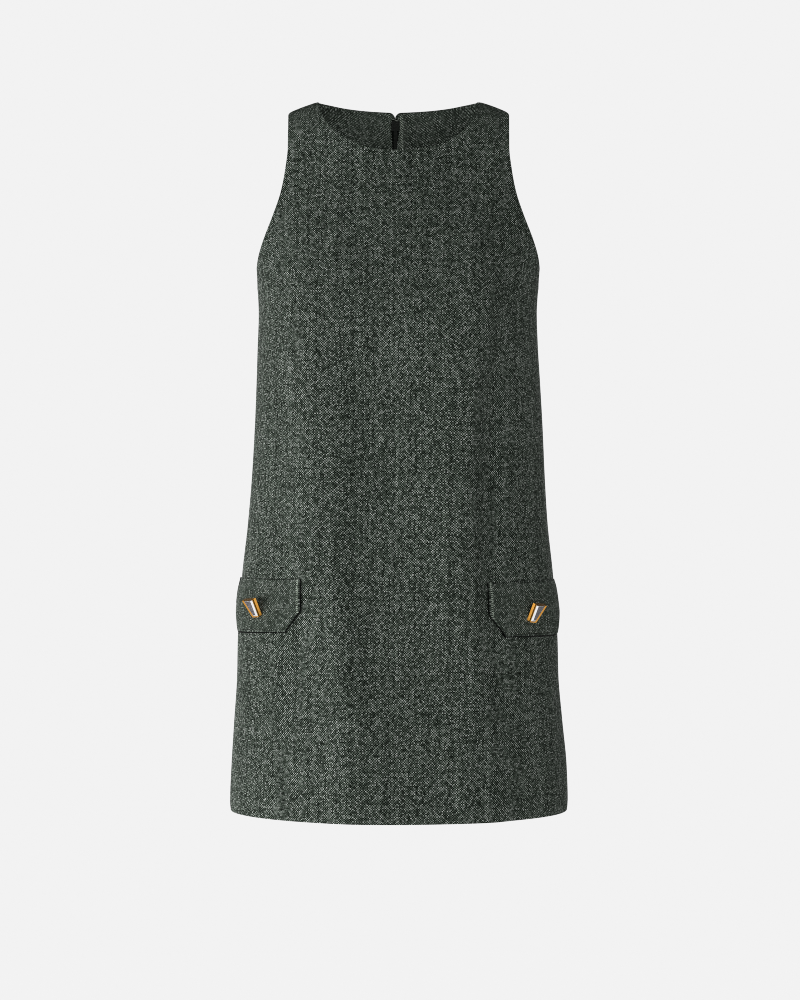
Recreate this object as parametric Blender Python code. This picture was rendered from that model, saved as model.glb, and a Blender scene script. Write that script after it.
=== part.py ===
"""Sleeveless A-line pinafore dress in tweed, filled out and hollow.

Metres, +Z up. The front faces -Y and +X is the right of the front view. The
origin lies midway between the two high shoulder points, where the dress hangs.
Every size below is in millimetres.
"""
import math

import bpy
import numpy as np

MM = 0.001

# ---------------------------------------------------------------- driving sizes
CLOTH = 2.0              # tweed with its backing
SEAM = 0.3               # gap left between two pieces that meet
NECK_HALF = 93.6         # centre to high shoulder point
NECK_DROP_FRONT = 63.9   # high shoulder point to the front neck edge
NECK_DROP_BACK = 2.8     # high shoulder point to the back neck edge
NECK_ROUND = (2.15, 2.0)  # superellipse powers of the front neckline, across and down
SHOULDER_SLOPE = 0.383   # fall of the shoulder for each mm outwards
SHOULDER_TIP = 129.0     # centre to the outer end of the shoulder
UNDERARM = 196.0         # depth of the armhole's lowest point
HEM = 827.3              # high shoulder point to hem
ZIP_SHIFT = -4.0         # the zip sits this far left of centre at the neck
CORNER = 5.5             # rounding of each back neck corner at the zip

# Outline of the filled garment seen from the front. Above the underarm the
# half width is that of the whole body, which the armhole cuts into.
OUTLINE = (
    # z, half_width, centre_x, squareness
    (0.0, 147.0, 0.4, 2.30),
    (-14.0, 148.0, 0.4, 2.30),
    (-57.0, 158.0, 0.2, 2.30),
    (-109.0, 166.5, 0.1, 2.30),
    (-140.0, 169.0, 0.0, 2.30),
    (-164.0, 169.2, 0.0, 2.30),
    (-184.0, 167.6, -0.1, 2.29),
    (-199.0, 165.3, -0.3, 2.28),
    (-220.0, 163.9, -0.5, 2.25),
    (-248.0, 162.5, -0.7, 2.22),
    (-283.0, 163.6, -0.7, 2.20),
    (-325.0, 165.5, -0.1, 2.16),
    (-381.0, 168.2, 0.4, 2.12),
    (-438.0, 171.1, 0.0, 2.08),
    (-494.0, 175.2, -0.7, 2.04),
    (-550.0, 181.4, -0.9, 2.00),
    (-592.0, 184.8, -0.9, 1.98),
    (-629.0, 186.9, -0.8, 1.96),
    (-669.0, 187.7, -0.7, 1.94),
    (-723.0, 191.7, -0.1, 1.92),
    (-775.0, 195.8, 0.8, 1.90),
    (-817.0, 197.3, 0.6, 1.88),
    (-828.0, 197.0, 0.5, 1.88),
)

# Depths of front and back, by the drop below the shoulder ridge.
PROFILE = (
    # drop, front_depth, back_depth
    (0.0, 0.0, 0.0),
    (6.0, 21.0, 31.0),
    (12.0, 30.0, 48.0),
    (20.0, 38.0, 60.0),
    (35.0, 48.0, 70.0),
    (70.0, 57.0, 84.0),
    (100.0, 64.0, 94.0),
    (135.0, 77.5, 100.5),
    (170.0, 92.5, 104.0),
    (205.0, 105.5, 106.0),
    (240.0, 114.5, 106.6),
    (280.0, 119.5, 106.4),
    (345.0, 121.0, 107.0),
    (466.0, 124.0, 116.0),
    (600.0, 133.0, 130.0),
    (720.0, 141.5, 140.0),
    (830.0, 149.8, 148.0),
)

# Edge of the armhole seen from the front.
ARMHOLE = (
    # z, half_width
    (-14.0, 129.0),
    (-30.0, 128.7),
    (-57.0, 128.5),
    (-82.0, 131.1),
    (-109.0, 136.1),
    (-136.0, 144.9),
    (-164.0, 156.0),
    (-184.0, 162.7),
    (-196.0, 165.2),
)

# Largest folds: soft ridges (+) and troughs (-) that fall down the panels.
# "across" is the share of the half panel from its centre to its side.
FOLDS = (
    # panel, across_top, across_bottom, z_top, z_bottom, half_width, height
    ("front", -0.36, -0.30, -225.0, -990.0, 0.19, 3.2),
    ("front", 0.36, 0.33, -225.0, -990.0, 0.19, 3.0),
    ("front", -0.06, -0.08, -300.0, -1000.0, 0.20, -2.4),
    ("front", -0.72, -0.66, -380.0, -1000.0, 0.15, -1.8),
    ("front", 0.70, 0.68, -360.0, -1000.0, 0.15, -2.0),
    ("back", -0.42, -0.46, -180.0, -990.0, 0.19, 3.0),
    ("back", 0.40, 0.38, -190.0, -990.0, 0.18, 3.2),
    ("back", 0.70, 0.66, -380.0, -1000.0, 0.15, -2.2),
    ("back", -0.70, -0.72, -400.0, -1000.0, 0.14, -1.8),
)

# Pocket flaps, on the front beside each side seam.
FLAPS = (
    # name, side, front_x, top_front, top_side, bottom_front, bottom_side, corner_along, corner_up
    ("left", -1, 108.2, -554.9, -555.8, -614.0, -617.2, 17.5, 19.5),
    ("right", 1, 99.9, -559.2, -557.7, -619.3, -619.6, 22.5, 24.0),
)
FLAP_WIDTH = 139.0
FLAP_BACK = 0.55
FLAP_FACE = (
    # share_down, outer_face_above_panel
    (0.0, 1.5),
    (0.12, 3.2),
    (0.3, 4.3),
    (0.6, 4.7),
    (0.88, 4.3),
    (1.0, 3.4),
)

# Jewel buttons: a tapered frame, wide end up, which droops on its shank.
BUTTONS = (
    # name, side, x, y, z of the middle of the face, turned_out, droop, roll
    ("left", -1, -166.7, -79.2, -589.7, 45.0, 30.0, 4.0),
    ("right", 1, 158.0, -88.1, -595.2, 45.0, 30.0, 4.0),
)
BUTTON = dict(top=19.0, bottom=11.2, height=23.4, thick=4.2, rim=1.5, bevel=0.9,
              pocket=2.4, shank=2.1, shank_long=4.6)

ZIP = dict(tape_half=12.0, tape=0.7, chain_half=2.3, chain=1.8, top=-21.8,
           bottom=-560.0, slider_half=4.6, slider=3.0, slider_top=-9.4,
           pull_half=2.6, pull=1.4, pull_long=24.0)
FACING = dict(deep=66.0, shoulder=31.0, cloth=1.5, gap=2.0, edge=3.1, wide_edge=2.8)
FACING_ROWS = (0.0, 0.1, 0.2, 0.3, 0.42, 0.6, 0.8, 1.0)  # shares of its depth

ZIP_NODES = tuple(-560.0 + 34.0 * i for i in range(15)) + (-60.0, -42.0, -30.0, -20.0, -12.0, -7.0)

# rows and columns of the cloth meshes
ROWS_LOW, ROWS_TOP = 13, 13
COLS_NECK, COLS_SHOULDER = 9, 5


# ---------------------------------------------------------------- curves of the tables
def column(table, index):
    """A smooth monotone curve through one column of a table, by its first column."""
    rows = sorted(table, key=lambda r: r[0])
    x = np.array([r[0] for r in rows], float)
    y = np.array([r[index] for r in rows], float)
    h = np.diff(x)
    d = np.diff(y) / h
    m = np.zeros_like(y)
    for i in range(1, len(x) - 1):
        if d[i - 1] * d[i] > 0:
            w1, w2 = 2 * h[i] + h[i - 1], h[i] + 2 * h[i - 1]
            m[i] = (w1 + w2) / (w1 / d[i - 1] + w2 / d[i])
    m[0], m[-1] = d[0], d[-1]

    def value(v):
        v = np.clip(np.asarray(v, float), x[0], x[-1])
        i = np.clip(np.searchsorted(x, v) - 1, 0, len(x) - 2)
        t = (v - x[i]) / h[i]
        return ((1 + 2 * t) * (1 - t) ** 2 * y[i] + t * (1 - t) ** 2 * h[i] * m[i]
                + t * t * (3 - 2 * t) * y[i + 1] + t * t * (t - 1) * h[i] * m[i + 1])

    return value


def by_root(table, index):
    """As column(), but against the square root of the drop, which rounds the ridge."""
    curve = column([(math.sqrt(r[0]), r[index]) for r in table], 1)
    return lambda drop: curve(np.sqrt(np.maximum(drop, 0.0)))


half_width = column(OUTLINE, 1)
centre_x = column(OUTLINE, 2)
squareness = column(OUTLINE, 3)
armhole_x = column(ARMHOLE, 1)
depth_of = {"front": by_root(PROFILE, 1), "back": by_root(PROFILE, 2)}
SIGN = {"front": -1.0, "back": 1.0}


def smooth(a, b, v):
    t = np.clip((np.asarray(v, float) - a) / (b - a), 0.0, 1.0)
    return t * t * (3 - 2 * t)


def ridge(x):
    """Height of the shoulder ridge at a distance from the centre."""
    return -SHOULDER_SLOPE * (np.abs(x) - NECK_HALF)


def drop_below_ridge(x, z):
    return ridge(x) * smooth(-UNDERARM, -60.0, z) - z


def edge_x(z):
    """Half width of the cloth: the side seam, or the armhole above the underarm."""
    return np.where(np.asarray(z) < -UNDERARM, half_width(z),
                    np.minimum(armhole_x(z), half_width(z)))


def depth(panel, x, z):
    """Distance of the panel from the side plane, for x measured from its centre."""
    q = np.clip(1.0 - (np.abs(x) / half_width(z)) ** squareness(z), 0.0, 1.0)
    return depth_of[panel](drop_below_ridge(x, z)) * np.sqrt(q)


def across_share(panel, u, z):
    """Share of the half width reached after share u of the section's own length."""
    zc = min(float(z), -40.0)
    s = np.sin(np.linspace(0.0, math.pi / 2, 160))
    x = float(edge_x(zc)) * s
    y = depth(panel, x, zc)
    run = np.concatenate([[0.0], np.cumsum(np.hypot(np.diff(x), np.diff(y)))])
    return np.interp(np.abs(u) * run[-1], run, s), run[-1]


def zip_x(z):
    """The centre back line, a little off the middle at the neck."""
    return ZIP_SHIFT * smooth(-330.0, -60.0, z)


def bare(panel, u, z):
    """Point of the unfolded surface at share u of the half panel and height z."""
    share, _ = across_share(panel, u, z)
    side = 1.0 if u >= 0 else -1.0
    x = side * share * float(edge_x(z))
    y = SIGN[panel] * float(depth(panel, x, z))
    lean = float(zip_x(z)) * (1.0 - share) if panel == "back" else 0.0
    return np.array([x + float(centre_x(z)) + lean, y, z])


def fold_height(panel, u, z):
    total = 0.0
    for name, a_top, a_low, z_top, z_low, wide, high in FOLDS:
        if name != panel or z > z_top:
            continue
        k = (z_top - z) / (z_top - z_low)
        a = a_top + (a_low - a_top) * k
        d = (u - a) / (wide * (0.75 + 0.5 * k))
        total += high * math.exp(-d * d * 1.6) * float(smooth(0.0, 0.45, k))
    return total * float(1 - smooth(0.86, 0.98, abs(u)))


def normal(panel, u, z, seam=None):
    """Outward normal by differences, kept in the seam's plane where one is named."""
    du, dz = 0.004, 0.6
    u0, u1 = max(u - du, -1.0), min(u + du, 1.0)
    if abs(u) > 0.9999:
        z0, z1 = z - dz, z
    else:
        z0, z1 = z - dz, z + dz
    a = bare(panel, u1, z) - bare(panel, u0, z)
    b = bare(panel, u, z1) - bare(panel, u, z0)
    n = np.cross(a, b) * (-SIGN[panel])
    if seam == "side":
        n = np.array([math.copysign(1.0, u), 0.0, 0.0])
        slope = (half_width(z + 4) - half_width(z - 4)) / 8.0
        n[2] = -slope
    if seam == "ridge":
        n = np.array([math.copysign(SHOULDER_SLOPE, u), 0.0, 1.0])
    length = np.linalg.norm(n)
    return n / length if length > 1e-9 else np.array([0.0, SIGN[panel], 0.0])


def front_neck(x):
    p, q = NECK_ROUND
    s = np.clip(1 - (np.abs(x) / NECK_HALF) ** p, 0, 1)
    return -NECK_DROP_FRONT * s ** (1 / q)


def back_neck(x, centre):
    level = -NECK_DROP_BACK * math.sqrt(max(0.0, 1 - (x / NECK_HALF) ** 2))
    gap = abs(x - centre)
    if gap < CORNER:
        level -= CORNER - math.sqrt(CORNER ** 2 - (CORNER - gap) ** 2)
    return level


def is_open(panel, u, z):
    """True above the cloth: in the neck opening or over the shoulder ridge."""
    p = bare(panel, u, z)
    x = p[0] - float(centre_x(z))
    if drop_below_ridge(x, z) <= 0:
        return True
    if abs(x) >= NECK_HALF:
        return False
    limit = front_neck(x) if panel == "front" else back_neck(p[0], float(zip_x(z)))
    return z > limit


def top_of(panel, u):
    """Height at which a column of the panel ends, and whether that is the ridge."""
    low, high = -150.0, 12.0
    for _ in range(44):
        mid = 0.5 * (low + high)
        if is_open(panel, u, mid):
            high = mid
        else:
            low = mid
    p = bare(panel, u, low)
    x = abs(p[0] - float(centre_x(low)))
    return low, x >= NECK_HALF - 0.02


def shares(panel):
    """Columns from the centre to the side, one of them at the high shoulder point."""
    s = np.linspace(0, 1, 400)
    reached, _ = across_share(panel, s, -40.0)
    hps = float(np.interp(NECK_HALF / SHOULDER_TIP, reached, s))
    inner = np.linspace(0.0, hps, COLS_NECK + 1)
    if panel == "back":
        first = 3.2 / 118.0
        inner = np.concatenate([[0.0, first, 2.2 * first],
                                np.linspace(4.4 * first, hps, COLS_NECK - 2)])
    outer = np.linspace(hps, 1.0, COLS_SHOULDER + 1)[1:]
    return np.concatenate([inner, outer])


# ---------------------------------------------------------------- meshes
def lower_rows():
    k = np.linspace(0.0, 1.0, ROWS_LOW + 1)
    return -HEM + (HEM - UNDERARM) * (1.15 * k - 0.15 * k * k)


def panel_grid(panel, us):
    """Outer points and outward normals, hem row first."""
    low = lower_rows()
    ease = (1 - np.cos(np.linspace(0, math.pi, ROWS_TOP + 1)[1:])) / 2
    tops = [top_of(panel, u) for u in us]
    points, normals = [], []
    seam_y = SIGN[panel] * SEAM / 2
    for r in range(len(low) + ROWS_TOP):
        row_p, row_n = [], []
        for c, u in enumerate(us):
            top, on_ridge = tops[c]
            z = low[r] if r < len(low) else -UNDERARM + (top + UNDERARM) * ease[r - len(low)]
            seam = None
            if abs(u) > 0.9999 and r < len(low):
                seam = "side"
            if r == len(low) + ROWS_TOP - 1 and on_ridge:
                seam = "ridge"
            n = normal(panel, u, min(z, top - 0.5) if seam is None and r >= len(low) else z, seam)
            p = bare(panel, u, z)
            if seam == "ridge":
                p[1] = 0.0
            p = p + n * fold_height(panel, u, z)
            if seam:
                p[1] = seam_y
            elif SIGN[panel] * p[1] < abs(seam_y):
                p[1] = seam_y
            row_p.append(p)
            row_n.append(n)
        points.append(row_p)
        normals.append(row_n)
    return np.array(points), np.array(normals)


def grid_solid(name, outer, inner, material, flip=False):
    """A closed wall between two grids of points (rows, columns)."""
    rows, cols = outer.shape[:2]
    verts = [tuple(p * MM) for p in outer.reshape(-1, 3)]
    verts += [tuple(p * MM) for p in inner.reshape(-1, 3)]
    base = rows * cols
    faces = []

    def at(r, c, layer):
        return layer * base + r * cols + c

    for r in range(rows - 1):
        for c in range(cols - 1):
            faces.append((at(r, c, 0), at(r, c + 1, 0), at(r + 1, c + 1, 0), at(r + 1, c, 0)))
            faces.append((at(r, c, 1), at(r + 1, c, 1), at(r + 1, c + 1, 1), at(r, c + 1, 1)))
    for c in range(cols - 1):
        faces.append((at(0, c, 1), at(0, c + 1, 1), at(0, c + 1, 0), at(0, c, 0)))
        t = rows - 1
        faces.append((at(t, c, 0), at(t, c + 1, 0), at(t, c + 1, 1), at(t, c, 1)))
    for r in range(rows - 1):
        faces.append((at(r, 0, 0), at(r + 1, 0, 0), at(r + 1, 0, 1), at(r, 0, 1)))
        e = cols - 1
        faces.append((at(r, e, 1), at(r + 1, e, 1), at(r + 1, e, 0), at(r, e, 0)))
    if flip:
        faces = [tuple(reversed(f)) for f in faces]
    return add_mesh(name, verts, faces, material)


def add_mesh(name, verts, faces, material, smooth_angle=40.0):
    mesh = bpy.data.meshes.new(name)
    mesh.from_pydata(verts, [], faces)
    mesh.validate()
    mesh.shade_smooth()
    mesh.set_sharp_from_angle(angle=math.radians(smooth_angle))
    obj = bpy.data.objects.new(name, mesh)
    bpy.context.scene.collection.objects.link(obj)
    obj.data.materials.append(material)
    return obj


def material(name, colour, roughness, metallic=0.0):
    mat = bpy.data.materials.new(name)
    mat.use_nodes = True
    shader = mat.node_tree.nodes["Principled BSDF"]
    shader.inputs["Base Color"].default_value = (*colour, 1.0)
    shader.inputs["Roughness"].default_value = roughness
    shader.inputs["Metallic"].default_value = metallic
    return mat


# ---------------------------------------------------------------- the cloth pieces
def build_panels(tweed):
    us = shares("front")
    both = np.concatenate([-us[:0:-1], us])
    pts, nrm = panel_grid("front", both)
    grid_solid("front_panel", pts, inset(pts, nrm, CLOTH, "front"), tweed)

    us = shares("back")
    for name, side in (("left", -1.0), ("right", 1.0)):
        pts, nrm = panel_grid("back", side * us if side > 0 else -us)
        # the centre back edges stand half a seam apart, square to the seam
        for grid in (pts,):
            grid[:, 0, 0] += side * SEAM / 2
        nrm[:, 0, 0] = 0.0
        nrm[:, 0] /= np.linalg.norm(nrm[:, 0], axis=1)[:, None]
        inner = inset(pts, nrm, CLOTH, "back")
        grid_solid("back_panel_" + name, pts, inner, tweed, flip=side > 0)


def inset(points, normals, by, panel):
    """Inner face of a wall, stopped at the seam plane."""
    inner = points - normals * by
    limit = SEAM / 2
    y = SIGN[panel] * inner[..., 1]
    inner[..., 1] = SIGN[panel] * np.maximum(y, limit)
    return inner


def build_facings(tweed):
    """Band inside the back neck, from the zip to the shoulder seam."""
    rows, cols = len(FACING_ROWS) - 1, 12
    for name, side in (("left", -1.0), ("right", 1.0)):
        outer = np.zeros((rows + 1, cols + 1, 3))
        inner = np.zeros_like(outer)
        for c in range(cols + 1):
            turn = (1 - (1 - c / cols) ** 1.5) * math.pi / 2
            neck_x = NECK_HALF * math.sin(turn)
            neck_z = -NECK_DROP_BACK * math.cos(turn) - 0.1
            low_x = (NECK_HALF + FACING["shoulder"]) * math.sin(turn)
            low_z = (ridge(NECK_HALF + FACING["shoulder"]) * math.sin(turn) ** 3
                     - FACING["deep"] * math.cos(turn))
            for r in range(rows + 1):
                b = FACING_ROWS[r]
                x = neck_x + (low_x - neck_x) * b
                z = min(neck_z + (low_z - neck_z) * b, float(ridge(x)))
                edge = FACING["edge"] + FACING["wide_edge"] * float(smooth(-34.0, -24.0, z))
                x = edge + x * (1 - edge / (NECK_HALF + FACING["shoulder"] * b))
                p, n = on_back(side, x, z, c == cols)
                if c == 0:
                    n[0] = 0.0
                    n /= np.linalg.norm(n)
                gap = CLOTH + FACING["gap"] + 0.8 * math.sin(turn) ** 3
                for grid, by in ((outer, gap), (inner, gap + FACING["cloth"])):
                    q = p - n * by
                    q[1] = max(q[1], SEAM / 2)
                    grid[r, c] = q
        grid_solid("back_facing_" + name, outer[::-1], inner[::-1], tweed, flip=side > 0)


def on_back(side, x, z, on_ridge=False):
    """Point and outward normal of the back at a distance x from its centre line."""
    def at(px, pz):
        share = px / float(edge_x(pz)) if pz < -14 else px / SHOULDER_TIP
        lean = float(zip_x(pz)) * (1 - share)
        return np.array([side * px + float(centre_x(pz)) + lean,
                         float(depth("back", px, pz)), pz])

    if on_ridge:
        n = np.array([side * SHOULDER_SLOPE, 0.0, 1.0])
        p = at(x, float(ridge(x)))
        p[1] = 0.0
        return p, n / np.linalg.norm(n)
    d = 0.4
    n = np.cross(at(x, z) - at(x, z - d), at(x + d, z) - at(x - d, z))
    n /= np.linalg.norm(n)
    return at(x, z), n if n[1] > 0 else -n


def build_flaps(tweed):
    face = column(FLAP_FACE, 1)
    rows_flat, rows_corner, cols = 5, 3, 13
    for name, side, front_x, tf, ts, bf, bs, along, up in FLAPS:
        outer, inner = [], []
        for r in range(rows_flat + rows_corner + 1):
            row_o, row_i = [], []
            if r <= rows_flat:
                k = (r / rows_flat) ** 1.0
                down = k * (1 - up / (tf - bf))
                cut = 0.0
            else:
                k = (r - rows_flat) / rows_corner
                down = 1 - (1 - k) * up / (tf - bf)
                cut = along * k
            for c in range(cols + 1):
                s = cut + (FLAP_WIDTH - 2 * cut) * c / cols
                share = s / FLAP_WIDTH
                z = (tf + (ts - tf) * share) * (1 - down) + (bf + (bs - bf) * share) * down
                u = side * flap_share(front_x, s, z)
                p = bare("front", u, z)
                n = normal("front", u, z)
                p = p + n * fold_height("front", u, z)
                edge = min(1.0, 0.55 + 0.45 * min(s - cut, FLAP_WIDTH - cut - s) / 6.0 + 0.0)
                row_o.append(p + n * (FLAP_BACK + (float(face(down)) - FLAP_BACK) * max(edge, 0.7)))
                row_i.append(p + n * FLAP_BACK)
            outer.append(row_o)
            inner.append(row_i)
        outer, inner = np.array(outer)[::-1], np.array(inner)[::-1]
        grid_solid("pocket_flap_" + name, outer, inner, tweed, flip=side < 0)


def flap_share(front_x, s, z):
    """Share of the half panel at a distance s from the flap's front edge."""
    share, length = across_share("front", np.linspace(0, 1, 200), z)
    x = share * float(edge_x(z))
    start = float(np.interp(front_x, x, np.linspace(0, 1, 200)))
    return min(start + s / length, 0.9995)


# ---------------------------------------------------------------- zip
def zip_line(z, x, by):
    """Point inside the centre back, on straight runs between a few heights."""
    nodes = ZIP_NODES
    i = min(max(int(np.searchsorted(nodes, z)) - 1, 0), len(nodes) - 2)
    ends = []
    for node in (nodes[i], nodes[i + 1]):
        wide = max(abs(x), 4.7) if by > 0 else 0.2
        p, n = on_back(math.copysign(1.0, x), wide, node)
        p[0] += x - math.copysign(wide, x)
        n[0] = 0.0
        ends.append(p - n / np.linalg.norm(n) * by)
    t = (z - nodes[i]) / (nodes[i + 1] - nodes[i])
    return ends[0] * (1 - t) + ends[1] * t


def strip(name, mat, half, z_low, z_high, near, far):
    """A flat band along the centre back, between two offsets inside the cloth."""
    heights = [z_low] + [z for z in ZIP_NODES if z_low + 1 < z < z_high - 1] + [z_high]
    across = [k * half for k in (-1.0, 1.0)]
    if half > 6:
        across = [-half, -4.7, 4.7, half]
    outer = [[zip_line(z, x, near) for x in across] for z in heights]
    inner = [[zip_line(z, x, far) for x in across] for z in heights]
    return grid_solid(name, np.array(outer), np.array(inner), mat, flip=True)


def build_zip(tape_mat, dark, enamel):
    t0 = CLOTH + 2 * SEAM
    t1 = t0 + ZIP["tape"]
    c0 = t1 + SEAM
    strip("zip_tape", tape_mat, ZIP["tape_half"], ZIP["bottom"], -8.5, t0, t1)
    strip("zip_chain", dark, ZIP["chain_half"], ZIP["bottom"] + 12, ZIP["top"],
          c0, c0 + ZIP["chain"])
    strip("zip_slider", dark, ZIP["slider_half"], ZIP["top"] + SEAM,
          ZIP["slider_top"], c0, c0 + ZIP["slider"])
    # the pull hangs outside, over the seam
    strip("zip_pull", enamel, ZIP["pull_half"], -13.0 - ZIP["pull_long"], -13.0,
          -SEAM - 0.3 - ZIP["pull"], -SEAM - 0.3)


# ---------------------------------------------------------------- buttons
def trapezoid(inset_by, z):
    """Corners of the tapered outline, moved in by a distance, at a height."""
    b = BUTTON
    h, t, w = b["height"] / 2, b["top"] / 2, b["bottom"] / 2
    slope = (t - w) / b["height"]
    k = inset_by * math.sqrt(1 + slope * slope)
    hi, lo = h - inset_by, -h + inset_by

    def half(v):
        return (t + w) / 2 + slope * v - k

    return [(-half(lo), lo, z), (half(lo), lo, z), (half(hi), hi, z), (-half(hi), hi, z)]


def ring_faces(n, count):
    faces = []
    for k in range(count - 1):
        for i in range(n):
            j = (i + 1) % n
            faces.append((k * n + i, k * n + j, (k + 1) * n + j, (k + 1) * n + i))
    return faces


def place_button(obj, row):
    name, side, x, y, z, out, droop, roll = row
    a, d, r = math.radians(out) * side, math.radians(droop), math.radians(roll) * side
    n = np.array([math.sin(a) * math.cos(d), -math.cos(a) * math.cos(d), -math.sin(d)])
    flat = np.array([math.cos(a), math.sin(a), 0.0])
    up = np.cross(n, flat)
    right = flat * math.cos(r) - up * math.sin(r)
    up = np.cross(n, right)
    frame = np.column_stack([right, up, n])
    mesh = obj.data
    for v in mesh.vertices:
        v.co = (frame @ (np.array(v.co[:]) / MM) + np.array([x, y, z])) * MM
    mesh.update()


def build_buttons(gold, stone_mat):
    b = BUTTON
    for row in BUTTONS:
        # frame: closed back with a shank, bevelled front rim, pocket for the stone
        loops = [trapezoid(0.7, -b["thick"]), trapezoid(0.0, -b["thick"] + 0.7),
                 trapezoid(0.0, -0.5), trapezoid(0.5, 0.0),
                 trapezoid(b["rim"], 0.0), trapezoid(b["rim"] + b["bevel"], -b["pocket"] / 2),
                 trapezoid(b["rim"] + b["bevel"], -b["pocket"])]
        verts = [v for loop in loops for v in loop]
        faces = ring_faces(4, len(loops))
        last = (len(loops) - 1) * 4
        faces.append(tuple(last + i for i in range(4)))
        # shank: an eight-sided stem on the closed back
        sides = 8
        base = len(verts)
        for depth_z in (-b["thick"], -b["thick"] - b["shank_long"]):
            for i in range(sides):
                q = 2 * math.pi * (i + 0.5) / sides + math.pi
                verts.append((b["shank"] * math.cos(q), b["shank"] * math.sin(q) + 1.0, depth_z))
        for i in range(sides):
            j = (i + 1) % sides
            faces.append((base + i, base + sides + i, base + sides + j, base + j))
        faces.append(tuple(base + sides + i for i in reversed(range(sides))))
        # back plate between the outer loop's four corners and the stem's ring
        ring = [base + i for i in range(sides)]
        for k in range(4):
            a, c = ring[(2 * k) % sides], ring[(2 * k + 1) % sides]
            e = ring[(2 * k + 2) % sides]
            faces.append((k, a, c))
            faces.append((k, c, (k + 1) % 4))
            faces.append((c, e, (k + 1) % 4))
        verts = [tuple(np.array(v) * MM) for v in verts]
        faces = [tuple(f) for f in faces]
        frame = add_mesh("button_frame_" + row[0], verts, faces, gold, 25.0)
        fix_facing(frame)
        place_button(frame, row)

        g = b["rim"] + b["bevel"] + 0.3
        loops = [trapezoid(g, -b["pocket"] + 0.3), trapezoid(g, -b["pocket"] / 2 - 0.1),
                 trapezoid(g + 1.9, 0.1)]
        verts = [tuple(np.array(v) * MM) for loop in loops for v in loop]
        faces = ring_faces(4, 3) + [(8, 9, 10, 11), (3, 2, 1, 0)]
        stone = add_mesh("button_stone_" + row[0], verts, faces, stone_mat, 10.0)
        fix_facing(stone)
        place_button(stone, row)


def fix_facing(obj):
    import bmesh
    bm = bmesh.new()
    bm.from_mesh(obj.data)
    bmesh.ops.recalc_face_normals(bm, faces=bm.faces)
    bm.to_mesh(obj.data)
    bm.free()


def main():
    for obj in list(bpy.data.objects):
        bpy.data.objects.remove(obj, do_unlink=True)
    tweed = material("tweed", (0.045, 0.058, 0.045), 0.95)
    tape = material("zip_tape", (0.012, 0.014, 0.012), 0.85)
    dark = material("zip_black", (0.010, 0.011, 0.010), 0.45)
    enamel = material("zip_enamel", (0.012, 0.014, 0.013), 0.35, 0.4)
    gold = material("gilt_metal", (0.72, 0.36, 0.08), 0.28, 1.0)
    stone = material("grey_stone", (0.20, 0.19, 0.21), 0.12)
    build_panels(tweed)
    build_facings(tweed)
    build_flaps(tweed)
    build_zip(tape, dark, enamel)
    build_buttons(gold, stone)


main()
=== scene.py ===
import math

import bmesh
import bpy
import numpy as np
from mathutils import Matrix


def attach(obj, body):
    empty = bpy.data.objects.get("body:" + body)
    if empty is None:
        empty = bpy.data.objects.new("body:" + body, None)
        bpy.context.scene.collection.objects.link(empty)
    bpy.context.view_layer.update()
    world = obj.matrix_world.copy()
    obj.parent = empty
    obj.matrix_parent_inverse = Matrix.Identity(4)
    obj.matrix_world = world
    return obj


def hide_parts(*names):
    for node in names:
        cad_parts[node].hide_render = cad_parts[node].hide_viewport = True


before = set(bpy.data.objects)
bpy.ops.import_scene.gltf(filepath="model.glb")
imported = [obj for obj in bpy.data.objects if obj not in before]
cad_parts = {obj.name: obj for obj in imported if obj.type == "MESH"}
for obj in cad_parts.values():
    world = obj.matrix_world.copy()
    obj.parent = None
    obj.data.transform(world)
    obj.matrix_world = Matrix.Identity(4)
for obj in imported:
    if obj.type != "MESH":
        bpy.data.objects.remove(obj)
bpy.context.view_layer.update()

# Looks of a sleeveless A-line pinafore dress in salt-and-pepper tweed. Sizes are
# in millimetres until a mesh is made; the tables repeat those of the solids.
MM = 0.001
CLOTH = 2.0
NECK_HALF, NECK_DROP_FRONT, NECK_DROP_BACK = 93.6, 63.9, 2.1
NECK_ROUND = (2.15, 2.0)
SHOULDER_SLOPE, SHOULDER_TIP = 0.383, 129.0
UNDERARM, HEM = 196.0, 827.3
ZIP_SHIFT, CORNER = -4.0, 7.2
SEAM = 0.04               # what is left open between two sewn pieces

OUTLINE = (
    # z, half_width, centre_x, squareness
    (0.0, 147.0, 0.4, 2.30),
    (-14.0, 148.0, 0.4, 2.30),
    (-57.0, 158.0, 0.2, 2.30),
    (-109.0, 166.5, 0.1, 2.30),
    (-140.0, 169.0, 0.0, 2.30),
    (-164.0, 169.2, 0.0, 2.30),
    (-184.0, 167.6, -0.1, 2.29),
    (-199.0, 165.3, -0.3, 2.28),
    (-220.0, 163.9, -0.5, 2.25),
    (-248.0, 162.5, -0.7, 2.22),
    (-283.0, 163.6, -0.7, 2.20),
    (-325.0, 165.5, -0.1, 2.16),
    (-381.0, 168.2, 0.4, 2.12),
    (-438.0, 171.1, 0.0, 2.08),
    (-494.0, 175.2, -0.7, 2.04),
    (-550.0, 181.4, -0.9, 2.00),
    (-592.0, 184.8, -0.9, 1.98),
    (-629.0, 186.9, -0.8, 1.96),
    (-669.0, 187.7, -0.7, 1.94),
    (-723.0, 191.7, -0.1, 1.92),
    (-775.0, 195.8, 0.8, 1.90),
    (-817.0, 197.3, 0.6, 1.88),
    (-828.0, 196.2, 0.5, 1.88),
)
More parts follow.
